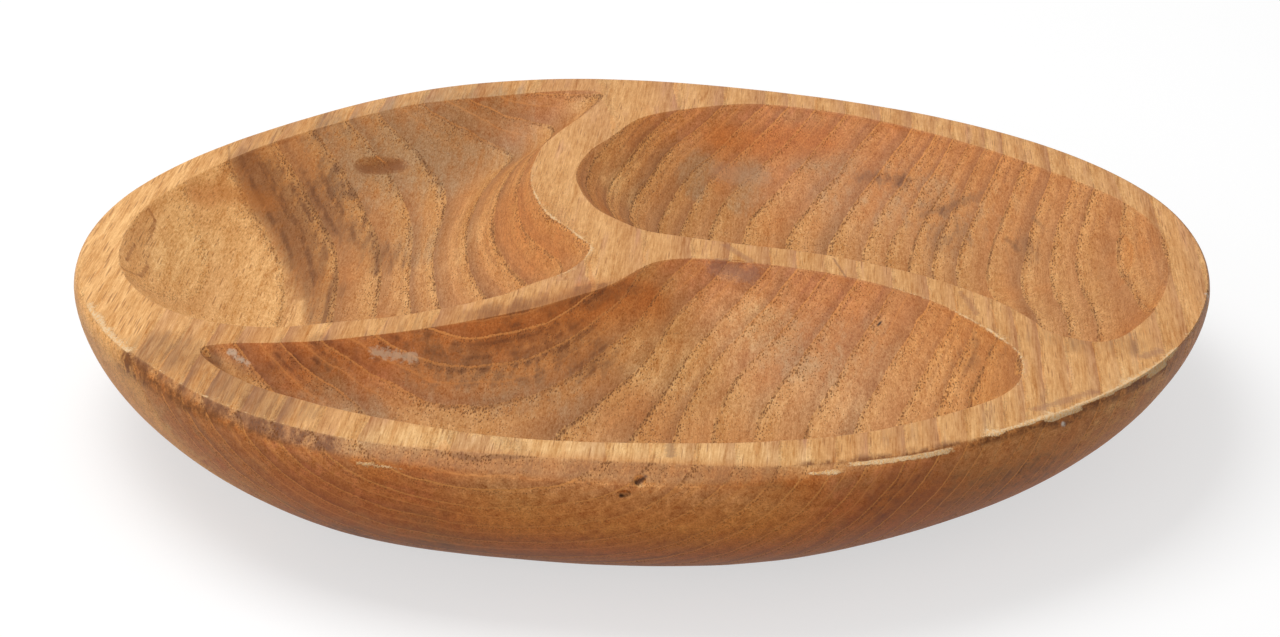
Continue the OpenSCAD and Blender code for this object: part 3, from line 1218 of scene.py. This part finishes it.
class Grain:
    """Where each place of the wood lies in its log and on the tray, and the noises that follow its grain."""

    def __init__(self, bench: Bench, finish: "TeakFinish") -> None:
        """Works out the places, the noises and the growth rings.

        Args:
            bench: The material's nodes.
            finish: The finish, which knows the pith and the rings.
        """
        b = self.bench = bench
        self.place = b.grow(b.node("ShaderNodeTexCoord", output="Object"), 1 / MM)
        x, y, z = b.parts(self.place)
        # across the log, up it and along it, from the pith, in millimetres
        self.u = x - finish.pith[0] - y * finish.drift[0]
        self.v = z - finish.pith[1] - y * finish.drift[1]
        self.w = y

        # how the surface lies: facing along the log, upwards, and in the rim's flat top
        _, facing, self.up = b.parts(b.node("ShaderNodeTexCoord", output="Normal"))
        self.facing = b.maths("ABSOLUTE", facing)
        self.end_grain = self.facing.rise(0.3, 0.92)
        self.steep = self.up.rise(0.97, 0.6)
        # the rim's flat top, where its polish and the painted sheen lie
        self.polish_and_sheen = z.rise(*finish.polish_and_sheen_from) * self.up.rise(0.93, 0.985)

        # noises at the sizes of the wood's own details
        self.fibre = self.cloud(2.4, 1 / 13, 2.0, 0.7)
        self.streak = self.cloud(0.36, 1 / 50, 3.0, 0.6)
        self.patch = self.cloud(1 / 15, 1 / 60)
        self.speck = self.cloud(2.0, 0.65, 2.0, 0.9)
        self.fuzz = self.cloud(0.6, 0.25, 2.0, 0.7)
        self.slow = self.cloud(1 / 52, 1 / 150, 1.0) - 0.5
        self.quick = self.cloud(1 / 9, 1 / 45) - 0.5
        self.blotch = b.cloud(b.grow(self.place, 1 / 30), 3.0, 0.55)
        self.crumb = b.cloud(b.grow(self.place, 0.9), 2.0, 0.7)

        # growth rings: the share of the ring that a place lies within, how far its beginning is in millimetres, a
        # number from 0 to 1 of the ring's own, its late wood, and the thin lines in it
        radius = (b.maths("SQRT", self.u * self.u + self.v * self.v) + self.slow * 5.0 + self.quick * 1.6
                  + (self.fibre - 0.5) * 0.6)
        number, self.phase, self.since = finish.ring_places(b, radius)
        self.chance = b.node("ShaderNodeTexWhiteNoise", {"noise_dimensions": "1D"}, {"W": number + 0.5})
        self.late = self.phase.rise(0.45, 1.05)
        self.fine = (b.maths("SINE", radius * 2.7).rise(0.1, 1.0) * self.patch.rise(0.25, 0.6)
                     * self.streak.rise(0.35, 0.55))
        # sapwood on the left, beyond one ring
        sap_radius = radius - self.w * 0.06 + (self.streak - 0.5) * 12.0
        self.sapwood = sap_radius.rise(*finish.sapwood_from) * self.u.rise(-36, -60)

    def cloud(self, across: float, along: float, detail: float = 2.0, roughness: float = 0.5) -> Wire:
        """Returns noise drawn out along the grain.

        Args:
            across: Grains of noise per millimetre across the wood's grain.
            along: Grains of noise per millimetre along it.
            detail: How many finer noises are added.
            roughness: How strong the finer noises are.

        Returns:
            The noise, about 0.5.
        """
        place = self.bench.whole(self.u * across, self.v * across, self.w * along)
        return self.bench.cloud(place, detail, roughness)


@dataclass(frozen=True)
class Mark:
    """A stain, streak or speck, or a patch of painted shade (hub_shade), at its place on the tray."""

    name: str
    start: Point
    end: Point
    radius: float
    colour: Rgba
    strength: float
    # how far its border is eaten into
    ragged: float = 0.35

    def lay(self, g: Grain, body: Wire) -> Wire:
        """Lays the mark over a colour.

        Args:
            g: The wood's grain.
            body: The colour so far.

        Returns:
            The colour with the mark.
        """
        b = g.bench
        way = Vector(self.end) - Vector(self.start)
        away = b.vector("SUBTRACT", g.place, self.start)
        along = b.maths("MULTIPLY", b.vector("DOT_PRODUCT", away, tuple(way), number=True), 1 / way.dot(way),
                        clamp=True)
        nearest = b.node("ShaderNodeVectorMath", {"operation": "SCALE"}, {0: tuple(way), "Scale": along})
        gap = (b.vector("DISTANCE", away, nearest, number=True) * (1 / self.radius)
               + (g.crumb - 0.5) * self.ragged * 2.5)
        marked = b.mix(gap.rise(1.15, 0.25) * self.strength, body, self.colour)
        marked.socket.node.label = self.name
        return marked


@dataclass(frozen=True)
class TeakFinish:
    """Oiled teak with its growth rings, pores and sapwood, worn and stained by use, with painted shade, shadow, sheen
    and highlights in its colour.
    """

    # the pith runs along +Y above the tray: where it crosses Y = 0, and how it drifts in X and Z along Y
    pith: Pair = (-29.0, 110.0)
    drift: Pair = (0.063, 0.038)
    # the growth rings' radii from the pith, where each ring begins, between two ends
    first: float = 50.0
    last: float = 200.0
    rings: Sequence[float] = (57, 63.5, 69, 74, 80.3, 86.6, 94, 99, 104.5, 111, 118.5, 125.7, 131.5, 136, 140, 144.5,
                              149, 154.5, 161, 166, 170.5, 177, 184, 192)
    # between which radii the heartwood turns to sapwood, and between which heights the flat top's polish and painted
    # sheen begin
    sapwood_from: Pair = (112.0, 119.5)
    polish_and_sheen_from: Pair = (40.9, 41.3)
    tan: Rgba = shade(204, 144, 88)
    brown: Rgba = shade(186, 126, 74)
    late: Rgba = shade(146, 102, 68)
    orange: Rgba = shade(208, 130, 62)
    # rust-red patches, and painted warm shade on pocket walls and the front's sloping edge
    rust_and_warm_shade: Rgba = shade(190, 112, 46)
    cream: Rgba = shade(246, 200, 134)
    gold: Rgba = shade(218, 162, 98)
    band: Rgba = shade(176, 112, 78)
    ruddy: Rgba = shade(214, 130, 94)
    deep: Rgba = shade(132, 78, 46)
    # the flat top's colour: paler for its polish and as painted sheen
    polish_and_sheen: Rgba = shade(236, 176, 108)
    pore: Rgba = shade(104, 62, 32)
    line: Rgba = shade(226, 150, 80)
    sap: Rgba = shade(236, 180, 114)
    sap_pore: Rgba = shade(160, 100, 48)
    dull: Rgba = shade(168, 132, 94)
    # dark stains, and painted shade in the front pocket and low on the front wall
    stain_and_shade: Rgba = shade(112, 68, 38)
    fibre: Rgba = shade(238, 206, 162)
    # soil on the edges, and painted shadow under the worn front edges
    soil: Rgba = shade(74, 42, 22)
    # how end grain takes the oil, and the painted shade on steep walls and undersides: they turn darker and redder
    soaked_and_shaded: Rgba = (1.0, 0.83, 0.6, 1.0)
    underside_painted_shade: Rgba = (0.97, 0.8, 0.56, 1.0)
    # how much more green and blue than red the fine grain swings, so that it lightens and darkens like wood
    swing: Rgb = (0.78, 1.2, 1.85)
    marks: Sequence[Mark] = (
        Mark("gouge_stain", (-82.5, 93.5, 31.5), (-73.0, 100.0, 31.0), 3.6, shade(136, 80, 38), 0.8, 0.5),
        Mark("knot", (20.5, -10.0, 41.0), (29.5, -13.0, 40.0), 3.6, shade(128, 88, 74), 0.5, 0.7),
        Mark("knot_streak", (23.2, 3.0, 42.0), (29.6, -9.0, 42.0), 1.5, shade(150, 98, 70), 0.45, 0.5),
        Mark("divider_streak", (84.2, -31.4, 42.0), (87.2, -47.0, 42.0), 1.2, shade(150, 96, 66), 0.4, 0.9),
        Mark("divider_crack", (52.1, -6.7, 42.0), (54.6, -20.4, 42.0), 0.45, shade(130, 82, 54), 0.55, 0.6),
        Mark("rim_line", (-121.5, 84.0, 42.0), (-120.0, 71.0, 42.0), 0.5, shade(140, 92, 52), 0.45, 0.5),
        Mark("fleck", (62.0, -36.0, 34.2), (63.8, -34.6, 34.8), 0.55, shade(52, 34, 22), 0.95, 0.1),
        Mark("residue_left", (-103.0, -72.2, 40.0), (-98.5, -74.3, 37.0), 1.2, shade(214, 190, 164), 0.7, 1.1),
        Mark("residue_mid", (-67.5, -67.3, 38.2), (-57.5, -66.2, 36.6), 1.7, shade(206, 178, 148), 0.6, 1.2),
        Mark("rim_speck", (149.0, -31.2, 41.6), (150.4, -30.0, 41.0), 0.9, shade(214, 200, 184), 0.7, 0.5),
        Mark("pocket_streak", (82.5, 77.5, 24.0), (101.0, 74.4, 32.0), 1.5, shade(140, 98, 62), 0.35, 0.7),
        Mark("grey_spot", (7.4, -139.0, 42.0), (7.4, -132.5, 42.0), 1.6, shade(158, 118, 84), 0.6, 0.5),
        Mark("edge_stain_front", (96.0, -109.5, 42.0), (111.0, -98.5, 42.0), 2.0, shade(146, 96, 76), 0.4, 0.8),
        Mark("edge_stain_right", (126.5, -75.5, 42.0), (130.5, -71.5, 42.0), 2.2, shade(140, 96, 82), 0.4, 0.8),
        Mark("speck", (102.1, -111.8, 39.2), (102.5, -111.5, 39.0), 0.75, shade(236, 222, 206), 0.9, 0.3),
        Mark("pits_left", (-13.5, -148.5, 38.6), (-9.0, -148.5, 39.8), 0.9, shade(92, 46, 22), 0.55, 1.0),
        Mark("pit_a", (-4.0, -149.0, 36.4), (-2.4, -149.2, 36.9), 0.75, shade(52, 30, 16), 0.95, 0.3),
        Mark("pit_b", (-0.4, -147.8, 39.1), (1.6, -146.8, 39.8), 0.9, shade(58, 34, 20), 0.9, 0.5),
        Mark("pit_c", (19.0, -150.2, 39.2), (20.2, -150.2, 39.0), 0.5, shade(70, 42, 26), 0.8, 0.3),
        Mark("rim_mark_a", (-47.5, -136.5, 42.0), (-46.0, -140.5, 41.5), 0.8, shade(150, 96, 62), 0.5, 0.5),
        Mark("rim_mark_b", (-41.5, -137.5, 42.0), (-41.0, -140.0, 41.5), 0.7, shade(150, 96, 62), 0.5, 0.5),
        # painted shade under the hub
        Mark("hub_shade", (-15.0, -30.0, 40.0), (4.0, -22.0, 40.0), 3.0, shade(110, 62, 30), 0.35, 0.5),
        Mark("warm_back", (-118.0, 60.0, 36.0), (-108.0, 64.0, 33.0), 6.0, shade(196, 118, 48), 0.4, 0.6),
        Mark("grey_back", (24.0, 108.0, 26.0), (36.0, 108.0, 25.0), 5.0, shade(178, 140, 108), 0.4, 0.6),
        Mark("tick_a", (113.0, 55.0, 32.0), (115.5, 49.0, 30.5), 0.9, shade(130, 88, 54), 0.5, 0.6),
        Mark("tick_b", (118.0, 53.5, 33.0), (120.0, 48.0, 31.5), 0.8, shade(130, 88, 54), 0.5, 0.6),
        Mark("tick_c", (105.0, 52.0, 27.0), (108.0, 44.0, 25.5), 1.1, shade(130, 88, 54), 0.5, 0.6),
        Mark("tool_left_a", (-137.6, 30.6, 41.2), (-135.7, 28.2, 38.8), 0.9, shade(166, 104, 54), 0.6, 1.0),
        Mark("tool_left_b", (-135.7, 28.2, 38.8), (-135.7, 19.5, 37.2), 1.0, shade(166, 104, 54), 0.6, 1.1),
        Mark("tool_left_c", (-135.7, 19.5, 37.2), (-134.3, 1.0, 35.3), 1.0, shade(166, 104, 54), 0.6, 1.1),
        Mark("tool_left_d", (-134.3, 1.0, 35.3), (-134.7, -9.7, 36.5), 0.9, shade(166, 104, 54), 0.6, 1.0),
        Mark("tool_left_e", (-134.7, -9.7, 36.5), (-138.3, -16.7, 41.4), 0.8, shade(166, 104, 54), 0.5, 1.0),
        Mark("tool_left_f", (-138.6, 7.2, 39.4), (-138.7, -7.0, 40.0), 0.8, shade(166, 104, 54), 0.6, 1.0),
        Mark("tick_front_a", (-1.0, -32.0, 30.0), (0.5, -35.5, 27.5), 0.9, shade(120, 78, 48), 0.5, 0.6),
        Mark("tick_front_b", (3.5, -31.0, 30.0), (4.5, -35.0, 27.5), 0.9, shade(120, 78, 48), 0.5, 0.6),
    )

    def ring_places(self, b: Bench, radius: Wire) -> tuple[Wire, Wire, Wire]:
        """Reads where in its growth ring a place lies.

        Args:
            b: The material's nodes.
            radius: The distance from the pith, in millimetres.

        Returns:
            The ring's number, the share of it that lies within the radius, and how far its beginning is, in mm.
        """
        reach = self.last - self.first
        total = len(self.rings) + 1
        knots = [(0.0, 0.0), *(((r - self.first) / reach, (i + 1) / total) for i, r in enumerate(self.rings)),
                 (1.0, 1.0)]
        count = b.node("ShaderNodeFloatCurve", {"curve": knots}, {"Value": (radius - self.first) * (1 / reach)}) * total
        number = b.maths("FLOOR", count)
        start = b.node("ShaderNodeFloatCurve", {"curve": [(n, r) for r, n in knots]}, {"Value": number * (1 / total)})
        return number, b.maths("FRACT", count), radius - start * reach - self.first

    def bare(self, g: Grain) -> Wire:
        """Mixes the wood's colour: heartwood with its rings, sapwood, and the rim's flat top, paler for its polish and
        as painted sheen.

        Args:
            g: The wood's grain.

        Returns:
            The colour.
        """
        mix = g.bench.mix
        body = mix(g.patch.rise(0.3, 0.7), self.brown, self.tan)
        body = mix(g.blotch.rise(0.5, 0.75) * 0.5, body, self.orange)
        # greyer towards the end of each ring, and golden where the next begins
        body = mix(g.late * (g.chance.rise(0.3, 1.0) * 0.4 + g.patch.rise(0.4, 0.65) * 0.3 + 0.06), body, self.late)
        body = mix(g.since.rise(5.0, 0.3) * (g.fuzz.rise(0.3, 0.6) * 0.35 + 0.3) * (1 - g.end_grain), body, self.gold)
        body = mix(g.end_grain * g.phase.rise(0.5, 1.0) * 0.3, body, self.deep)
        body = mix(g.fine * (g.steep * 0.32 + 0.14), body, self.deep)
        body = mix(g.end_grain * (g.quick + g.slow * 0.6 + 0.5).rise(0.5, 0.72) * 0.5, body, self.dull)
        body = mix(g.end_grain * (0.2 + g.streak.rise(0.4, 0.7) * 0.25), body, self.ruddy)
        body = mix(g.sapwood * 0.95, body, mix(g.late * 0.3, self.sap, self.tan))
        # the flat top lighter: its polish, and painted sheen
        body = mix(g.polish_and_sheen * (0.52 + g.sapwood * 0.25), body, self.polish_and_sheen)
        bands = g.late * g.chance.span(0.1, 0.5) + g.streak.rise(0.55, 0.72) * 0.45
        return mix(g.polish_and_sheen * (1 - g.sapwood) * bands, body, self.band)

    def toned(self, g: Grain, body: Wire) -> Wire:
        """Adds the soft patches of other tones, their borders drawn out along the grain: the wood's own stains, and
        painted shade and painted warm shade in places.

        Args:
            g: The wood's grain.
            body: The colour so far.

        Returns:
            The colour with its patches.
        """
        mix = g.bench.mix
        grey, warm, dark, pale = (g.bench.attribute(tone.value) for tone in Tone)
        uneven = (g.streak - 0.5) * 1.8 + (g.patch - 0.5) * 0.9 + (g.speck - 0.5) * 0.6
        body = mix((grey + uneven * grey.rise(0.0, 0.3)).rise(0.05, 1.0) * 0.7, body, self.dull)
        # rust-red patches, and painted warm shade on pocket walls and the front's sloping edge
        body = mix((warm + uneven * 0.6 * warm.rise(0.0, 0.3)).rise(0.05, 1.0) * 0.8, body, self.rust_and_warm_shade)
        body = mix((pale + uneven * 0.3 * pale.rise(0.0, 0.3)).rise(0.0, 1.0) * 0.8, body, self.cream)
        # dark stains, and painted shade under the front pocket's hub and divider and low on the front wall
        dark_stain_and_shade = (dark + uneven * 1.5 * dark.rise(0.0, 0.3)).rise(0.05, 1.0) * (0.58 + g.fine * 0.25)
        return mix(dark_stain_and_shade * (1 - g.polish_and_sheen * 0.3), body, self.stain_and_shade)

    def oiled(self, g: Grain, body: Wire) -> Wire:
        """Deepens a colour where end grain soaks up oil, and paints warm shade on steep walls and shade on the
        undersides.

        Args:
            g: The wood's grain.
            body: The colour so far.

        Returns:
            The deepened colour.
        """
        mix = g.bench.mix
        # end grain soaks up oil; on steep walls the same deepening is painted warm shade
        soak_and_shade = g.end_grain.or_more(g.steep) * (1 - g.sapwood * 0.6)
        body = mix(1.0, body, mix(soak_and_shade, (1, 1, 1, 1), self.soaked_and_shaded), "MULTIPLY")
        # undersides darker: painted shade
        return mix(g.up.rise(0.15, -0.6), body, mix(1.0, body, self.underside_painted_shade, "MULTIPLY"))

    def flecked(self, g: Grain, body: Wire) -> Wire:
        """Lightens and darkens a colour by fine fibres and flecks.

        Args:
            g: The wood's grain.
            body: The colour so far.

        Returns:
            The flecked colour.
        """
        tone = ((g.speck - 0.5) * (1.25 - g.polish_and_sheen * 0.8) + (g.fibre - 0.5) * (0.7 + g.polish_and_sheen * 0.5)
                + (g.streak - 0.5) * (0.75 + g.polish_and_sheen * 0.3) + (g.fuzz - 0.5) * (0.3 + g.end_grain * 0.5))
        return g.bench.mix(1.0, body, g.bench.whole(*(tone * part + 1 for part in self.swing)), "MULTIPLY")

    def pored(self, g: Grain, body: Wire) -> tuple[Wire, Wire]:
        """Adds the pores: fine dark tubes along the grain, short ones crowded where a ring begins, long ones between.

        Args:
            g: The wood's grain.
            body: The colour so far.

        Returns:
            The colour with its pores, and where the short ones are.
        """
        b = g.bench
        wobble = (g.crumb - 0.5) * 0.6
        cells = b.cells(g.u * 1.9 + wobble, g.v * 1.9 + wobble, g.w * (1 / 1.5))
        tubes = b.cells(g.u * 1.2, g.v * 1.2 + 9.0, g.w * (1 / 18))
        crowd = (g.since.rise(1.6, 0.1) * 0.2 + g.since.rise(6.0, 1.0) * 0.08 + (g.patch - 0.5) * 0.3
                 + (g.fuzz - 0.5) * 0.2 + 0.14)
        pores = (crowd - cells).rise(-0.06, 0.1) * (1 - g.polish_and_sheen * 0.7)
        strokes = ((g.streak - 0.5) * 0.4 + g.polish_and_sheen * 0.05 + g.sapwood * 0.08 + 0.15 - tubes).rise(-0.05, 0.09)
        body = b.mix(pores * (0.7 - g.end_grain * 0.3) * (1 - g.sapwood * 0.5), body, self.pore)
        return b.mix(strokes * (0.6 - g.end_grain * 0.45), body, self.sap_pore), pores

    def ringed(self, g: Grain, body: Wire) -> Wire:
        """Draws each ring's beginning: a pale line in end grain, and elsewhere a broken dark one.

        Args:
            g: The wood's grain.
            body: The colour so far.

        Returns:
            The colour with its lines.
        """
        broken = g.cloud(1 / 4, 1 / 16).rise(0.38, 0.52)
        dark = g.since.rise(0.0, 0.15) * g.since.rise(0.7, 0.4) * broken * (1 - g.end_grain)
        dark = dark * (1 - g.polish_and_sheen * 0.6) * (1 - g.sapwood * 0.7)
        body = g.bench.mix(dark * g.chance.span(0.12, 0.48), body, self.pore)
        pale = g.since.rise(0.0, 0.1) * g.since.rise(0.55, 0.3)
        second = g.phase.rise(0.44, 0.46) * g.phase.rise(0.52, 0.49) * g.chance.rise(0.25, 0.35) * 0.65
        shown = (g.facing.rise(0.15, 0.5) * g.steep * 0.9).or_more((1 - broken) * (g.polish_and_sheen * 0.35 + 0.12))
        return g.bench.mix(pale.or_more(second) * g.chance.span(1.0, 0.6) * shown, body, self.line)

    def wear_and_edge_light(self, g: Grain, body: Wire) -> tuple[Wire, Wire]:
        """Wears and soils the edges, and paints highlights along some of them and shadow under others.

        Args:
            g: The wood's grain.
            body: The colour so far.

        Returns:
            The colour with its worn and soiled edges and their painted highlights and shadow, and where they are pale.
        """
        b = g.bench
        worn, soiled = b.attribute("worn"), b.attribute("soiled")
        mottle = (g.streak - 0.5) * 2.6 + (g.fuzz - 0.5) * 1.6 + (g.crumb - 0.5) * 1.0 + 0.6
        # dark soil, and painted shadow on the front's slope and under the worn right front edge
        body = b.mix(soiled * mottle.rise(0.0, 1.0), body, b.mix(g.fibre * 0.6, self.soil, self.rust_and_warm_shade))
        tatter = (g.crumb - 0.5) * 1.3 + (g.speck - 0.5) * 0.7
        pale_edges = (worn + tatter * worn.rise(0.0, 0.2)).rise(0.38, 0.7)
        # pale worn wood, and painted highlights along the front's edges
        return b.mix(pale_edges * 0.9, body, b.mix(g.speck.rise(0.4, 0.65), self.fibre, self.polish_and_sheen)), pale_edges

    def material(self) -> bpy.types.Material:
        """Makes the finish.

        Returns:
            The finish as a material.
        """
        b = Bench("teak_oiled")
        g = Grain(b, self)
        body = self.flecked(g, self.oiled(g, self.toned(g, self.bare(g))))
        body, pores = self.pored(g, body)
        body = self.ringed(g, body)
        for mark in self.marks:
            body = mark.lay(g, body)
        body, pale_edges = self.wear_and_edge_light(g, body)
        roughness = g.fibre.span(0.46, 0.58) + pores * 0.2 - g.polish_and_sheen * 0.1 + pale_edges * 0.25
        height = g.fibre * 0.3 - pores * 1.0 + g.speck * 0.25 + pale_edges * g.speck * 2.0
        bump = b.node("ShaderNodeBump", inputs={"Strength": 0.6, "Distance": 0.00022, "Height": height})
        surface = b.node("ShaderNodeBsdfPrincipled", inputs={
            "Base Color": body, "Roughness": roughness, "Normal": bump, "IOR": 1.45, "Specular IOR Level": 0.25})
        b.node("ShaderNodeOutputMaterial", inputs={"Surface": surface})
        return b.material


@dataclass(frozen=True)
class FloorFinish:
    """White studio paper: bright to the camera, plain grey to the wood, and with the tray's shadow on it."""

    seen: float = 0.42
    lit: float = 0.34
    glow: float = 0.61

    def material(self) -> bpy.types.Material:
        """Makes the paper.

        Returns:
            The paper as a material.
        """
        b = Bench("studio_paper")
        shown = b.node("ShaderNodeLightPath", output="Is Camera Ray").or_more(
            b.node("ShaderNodeLightPath", output="Is Glossy Ray"))
        paper = b.node("ShaderNodeBsdfDiffuse", inputs={
            "Color": b.mix(shown, (self.lit, self.lit, self.lit, 1), (self.seen, self.seen, self.seen, 1))})
        light = b.node("ShaderNodeEmission", inputs={"Color": (1, 1, 1, 1), "Strength": shown * self.glow})
        both = b.node("ShaderNodeAddShader", inputs={0: paper, 1: light})
        b.node("ShaderNodeOutputMaterial", inputs={"Surface": both})
        return b.material


# --------------------------------------------------------------------------------------------------------- the studio


@dataclass(frozen=True)
class Lamp:
    """A soft square lamp."""

    name: str
    place: Point
    aim: Point
    size: float
    power: float
    colour: Rgb = (1.0, 1.0, 1.0)

    def build(self) -> None:
        """Adds the lamp to the scene."""
        bpy.ops.object.light_add(type="AREA", location=self.place)
        lamp = bpy.context.object
        lamp.name = self.name
        lamp.data.shape, lamp.data.size = "SQUARE", self.size
        lamp.data.energy, lamp.data.color = self.power, self.colour
        lamp.rotation_euler = (Vector(self.aim) - lamp.location).to_track_quat("-Z", "Y").to_euler()


@dataclass(frozen=True)
class Studio:
    """The floor, the light and the camera."""

    lamps: Sequence[Lamp] = (
        Lamp("lamp_above", (-0.5, 0.25, 1.4), (0, 0, 0), 1.0, 15.0),
        Lamp("lamp_front", (-0.6, -1.5, 0.45), (0, 0, 0), 1.2, 6.5),
    )
    daylight: float = 0.4
    # the camera's place and aim in metres, its turn about its own axis in degrees, and its lens
    eye: Point = (0.000250, -0.862203, 0.362031)
    aim: Point = (0.0000175, -0.0495088, 0.0410741)
    roll: float = 0.417
    lens: float = 95.22
    sensor: float = 36.0
    # the floor's width, and how far it lies below the foot, in metres
    floor_width: float = 8.0
    floor_gap: float = 0.0002

    def build(self) -> None:
        """Sets up the floor, the lamps, the world and the camera."""
        deselect()
        bpy.ops.mesh.primitive_plane_add(size=self.floor_width, location=(0, 0, -self.floor_gap))
        floor = bpy.context.object
        floor.name = "studio_floor"
        floor.data.materials.append(FloorFinish().material())
        for lamp in self.lamps:
            lamp.build()
        self.light_world()
        bpy.ops.object.camera_add(location=self.eye)
        camera = bpy.context.object
        camera.name = "studio_camera"
        look = (Vector(self.aim) - camera.location).to_track_quat("-Z", "Y").to_matrix()
        turn = Matrix.Rotation(math.radians(self.roll), 3, look @ Vector((0, 0, 1)))
        camera.matrix_world = Matrix.Translation(camera.location) @ (turn @ look).to_4x4()
        camera.data.lens, camera.data.sensor_width = self.lens, self.sensor
        camera.data.clip_start = 0.05
        bpy.context.scene.camera = camera
        bpy.context.scene.view_settings.view_transform = "Standard"

    def light_world(self) -> None:
        """Lights the room evenly, and shows it white behind the tray."""
        world = bpy.data.worlds.new("studio_room")
        world.use_nodes = True
        bpy.context.scene.world = world
        nodes, links = world.node_tree.nodes, world.node_tree.links
        path = nodes.new("ShaderNodeLightPath")
        strength = nodes.new("ShaderNodeMix")
        strength.inputs["A"].default_value, strength.inputs["B"].default_value = self.daylight, 1.0
        links.new(path.outputs["Is Camera Ray"], strength.inputs["Factor"])
        links.new(strength.outputs["Result"], nodes["Background"].inputs["Strength"])
        nodes["Background"].inputs["Color"].default_value = (1, 1, 1, 1)


def main() -> None:
    """Builds the tray and the studio."""
    logging.basicConfig(level=logging.INFO, format="%(message)s")
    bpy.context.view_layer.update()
    tray = CarvedTray().build()
    tray.data.materials.clear()
    tray.data.materials.append(TeakFinish().material())
    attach(tray, "root")
    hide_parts("tray_body")
    log.info("tray_carved: %d faces, %d vertices", len(tray.data.polygons), len(tray.data.vertices))
    Studio().build()


if __name__ == "__main__":
    main()
